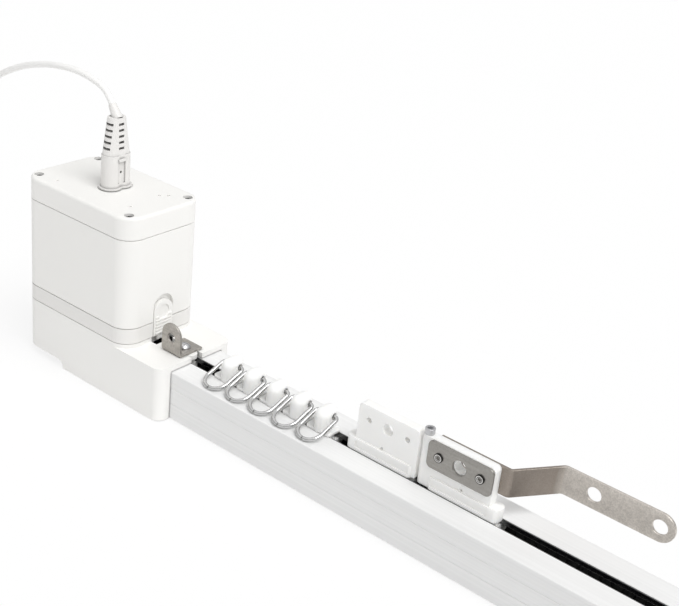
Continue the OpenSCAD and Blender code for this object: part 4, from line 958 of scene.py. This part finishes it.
def tumbled(low, high, mottled, smooth):
    """A way to paint tumbled steel sheet, with a mottle and short streaks between two tones."""

    def paint(wire):
        mottle, fine = wire.grain(1100, detail=4), wire.grain(3200)
        streak = wire.grain(900, stretch=(0.12, 1, 1))
        return {
            "Base Color": (mottled * mottle + (1 - mottled) * streak).blend(low, high),
            "Roughness": smooth + 0.2 * mottle,
            "Normal": wire.bump(mottle + 0.5 * fine, 0.03 * MM),
        }

    return paint


hook_steel = tumbled(low=(0.18, 0.168, 0.152), high=(0.64, 0.61, 0.57), mottled=0.6, smooth=0.30)
plate_steel = finish("tumbled_stainless", hook_steel, Metallic=1.0)
dress(["end_stop"], STOP_EDGE, abs_white)
dress(["end_hook"], HOOK_EDGE, plate_steel)
dress(["end_hook_screw"], HOOK_SCREW_EDGE, steel)

# Runners and their rings
# Each runner is one moulding in natural nylon, with a round knob above the slot.
# A ring of bright plated wire passes through the knob and lies over the rail's front edge.
RUNNER_EDGE, RING_EDGE = 0.3 * MM, 0.08 * MM
natural_nylon = clouded(
    low=(0.92, 0.915, 0.892),
    high=(0.955, 0.95, 0.93),
    clouds=70,
    grains=1300,
    roughness=(0.34, 0.48),
    depth=0.04 * MM,
)
bright_plating = clouded(
    low=(0.44, 0.44, 0.44),
    high=(0.68, 0.68, 0.675),
    clouds=260,
    grains=1800,
    roughness=(0.08, 0.22),
    depth=0.02 * MM,
)
nylon = finish(
    "natural_nylon",
    natural_nylon,
    Subsurface_Weight=0.6,
    Subsurface_Radius=(1, 0.98, 0.94),
    Subsurface_Scale=2 * MM,
)
plated_wire = finish("bright_plated_wire", bright_plating, Metallic=1.0)
dress(runner_names, RUNNER_EDGE, nylon)
dress([n + "_ring" for n in runner_names], RING_EDGE, plated_wire)

# Carriers
# Two nylon mouldings that roll in the rail, each clamped to the belt by a clip and with an upright blade.
# The leading one carries a steel plate in front and the overlap arm behind, held by two hollow rivets.
CARRIER_EDGE, PLATE_EDGE, ARM_EDGE, FIXING_EDGE = 0.4 * MM, 0.3 * MM, 0.2 * MM, 0.12 * MM
BLADE_X, HOLE_Z, RIVET_PITCH = 152.6 * MM, 42.3 * MM, 10.2 * MM
# Painted shade: dark rings on the rivets at their rims and round their tubes.
RIM_RADIUS, RIM_HALF = 2.0 * MM, 0.28 * MM
TUBE_RADIUS, TUBE_HALF = 1.15 * MM, 0.16 * MM
# Painted reflection: the arm's bent part is darker, standing in for the dimmer room it mirrors.
SLANT_END, SLANT_FADE = 187.4 * MM, 3 * MM


def bent_steel(wire):
    """Steel strip with a speckled mill surface, and a painted darker reflection along the bent part."""
    speck, mottle = wire.grain(1500, detail=4), wire.grain(260)
    flat = wire.along("X").rise(SLANT_END - SLANT_FADE, SLANT_END)
    tone = 0.7 * speck + 0.3 * mottle
    painted_reflection = tone.blend((0.20, 0.172, 0.15), (0.42, 0.37, 0.325))
    mill = tone.blend((0.30, 0.275, 0.25), (1.0, 0.94, 0.87))
    return {
        "Base Color": flat.blend(painted_reflection, mill),
        "Roughness": 0.28 + 0.22 * speck,
        "Normal": wire.bump(speck, 0.04 * MM),
    }


def rivet_steel(wire):
    """Bright rivet heads, with painted shade in a ring round each rim and a painted dark line round each
    tube.
    """
    across = wire.math("ABSOLUTE", wire.along("X") - BLADE_X, 0) - RIVET_PITCH
    up = wire.along("Z") - HOLE_Z
    radius = wire.math("POWER", across * across + up * up, 0.5)
    rim, tube = (
        wire.node("ShaderNodeMath", {"operation": "COMPARE"}, {0: radius, 1: middle, 2: half})
        for middle, half in ((RIM_RADIUS, RIM_HALF), (TUBE_RADIUS, TUBE_HALF))
    )
    fine = wire.grain(1600)
    return {
        "Base Color": wire.math("MAXIMUM", rim, tube).blend((0.62, 0.61, 0.59), (0.035, 0.034, 0.033)),
        "Roughness": 0.25 + 0.2 * fine,
        "Normal": wire.bump(fine, 0.03 * MM),
    }


dark_steel = tumbled(low=(0.20, 0.19, 0.175), high=(0.44, 0.425, 0.40), mottled=0.5, smooth=0.26)
dark_plate = finish("dark_stainless", dark_steel, Metallic=1.0)
arm_strip = finish("bent_steel_strip", bent_steel, Metallic=1.0)
rivet_metal = finish("rivet_steel", rivet_steel, Metallic=0.9)
dress([n + "_carrier" for n in carrier_names], CARRIER_EDGE, nylon)
coat([n + "_clamp" for n in carrier_names], nylon)
dress(["carrier_plate"], PLATE_EDGE, dark_plate)
dress(["overlap_arm"], ARM_EDGE, arm_strip)
dress(["plate_rivets"], FIXING_EDGE, rivet_metal)
dress(["clamp_screw"], FIXING_EDGE, steel)

# Connector, tie and plug
# The connector and the plug are soft PVC moulded over the lead's ends.
# The connector has a slotted strain relief, and a thin strap holds the coil together.
CONNECTOR_EDGE, PLUG_EDGE, TIE_EDGE = 0.3 * MM, 0.4 * MM, 0.15 * MM
# Painted shade: the connector goes dark in its relief's slots, the more so the more hidden a point is.
SLOT_REACH = 1.5 * MM
SLOT_SHADE = (0.03, 0.03, 0.03)
PIN_BARE = -117 * MM
NICKEL = (0.66, 0.64, 0.60)


def slotted_vinyl(wire):
    """The soft PVC of the cord's ends, with painted shade darkening it down in the relief's slots."""
    sockets = soft_vinyl(VINYL_LOW, VINYL_HIGH)(wire)
    sockets["Base Color"] = wire.hollow(SLOT_REACH).blend(sockets["Base Color"], SLOT_SHADE)
    return sockets


def plug_vinyl(wire):
    """Soft PVC, and nickel on the ends of the pins beyond their sleeves."""
    cloud, fine = wire.grain(35), wire.grain(1800)
    bare = wire.math("GREATER_THAN", wire.along("X"), PIN_BARE)
    return {
        "Base Color": bare.blend(VINYL_HIGH, NICKEL),
        "Metallic": bare,
        "Roughness": 0.38 + 0.16 * cloud - 0.2 * bare,
        "Normal": wire.bump(fine, 0.04 * MM),
    }


relief_vinyl = finish("slotted_vinyl", slotted_vinyl, Specular_IOR_Level=VINYL_SHINE)
dress(["power_connector"], CONNECTOR_EDGE, relief_vinyl)
dress(["mains_plug"], PLUG_EDGE, finish("plug_vinyl", plug_vinyl))
dress(["cord_tie"], TIE_EDGE, vinyl)

visual_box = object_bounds()
{name: [list(c) for c in box] for name, box in (("cad", cad_box), ("visual", visual_box))}
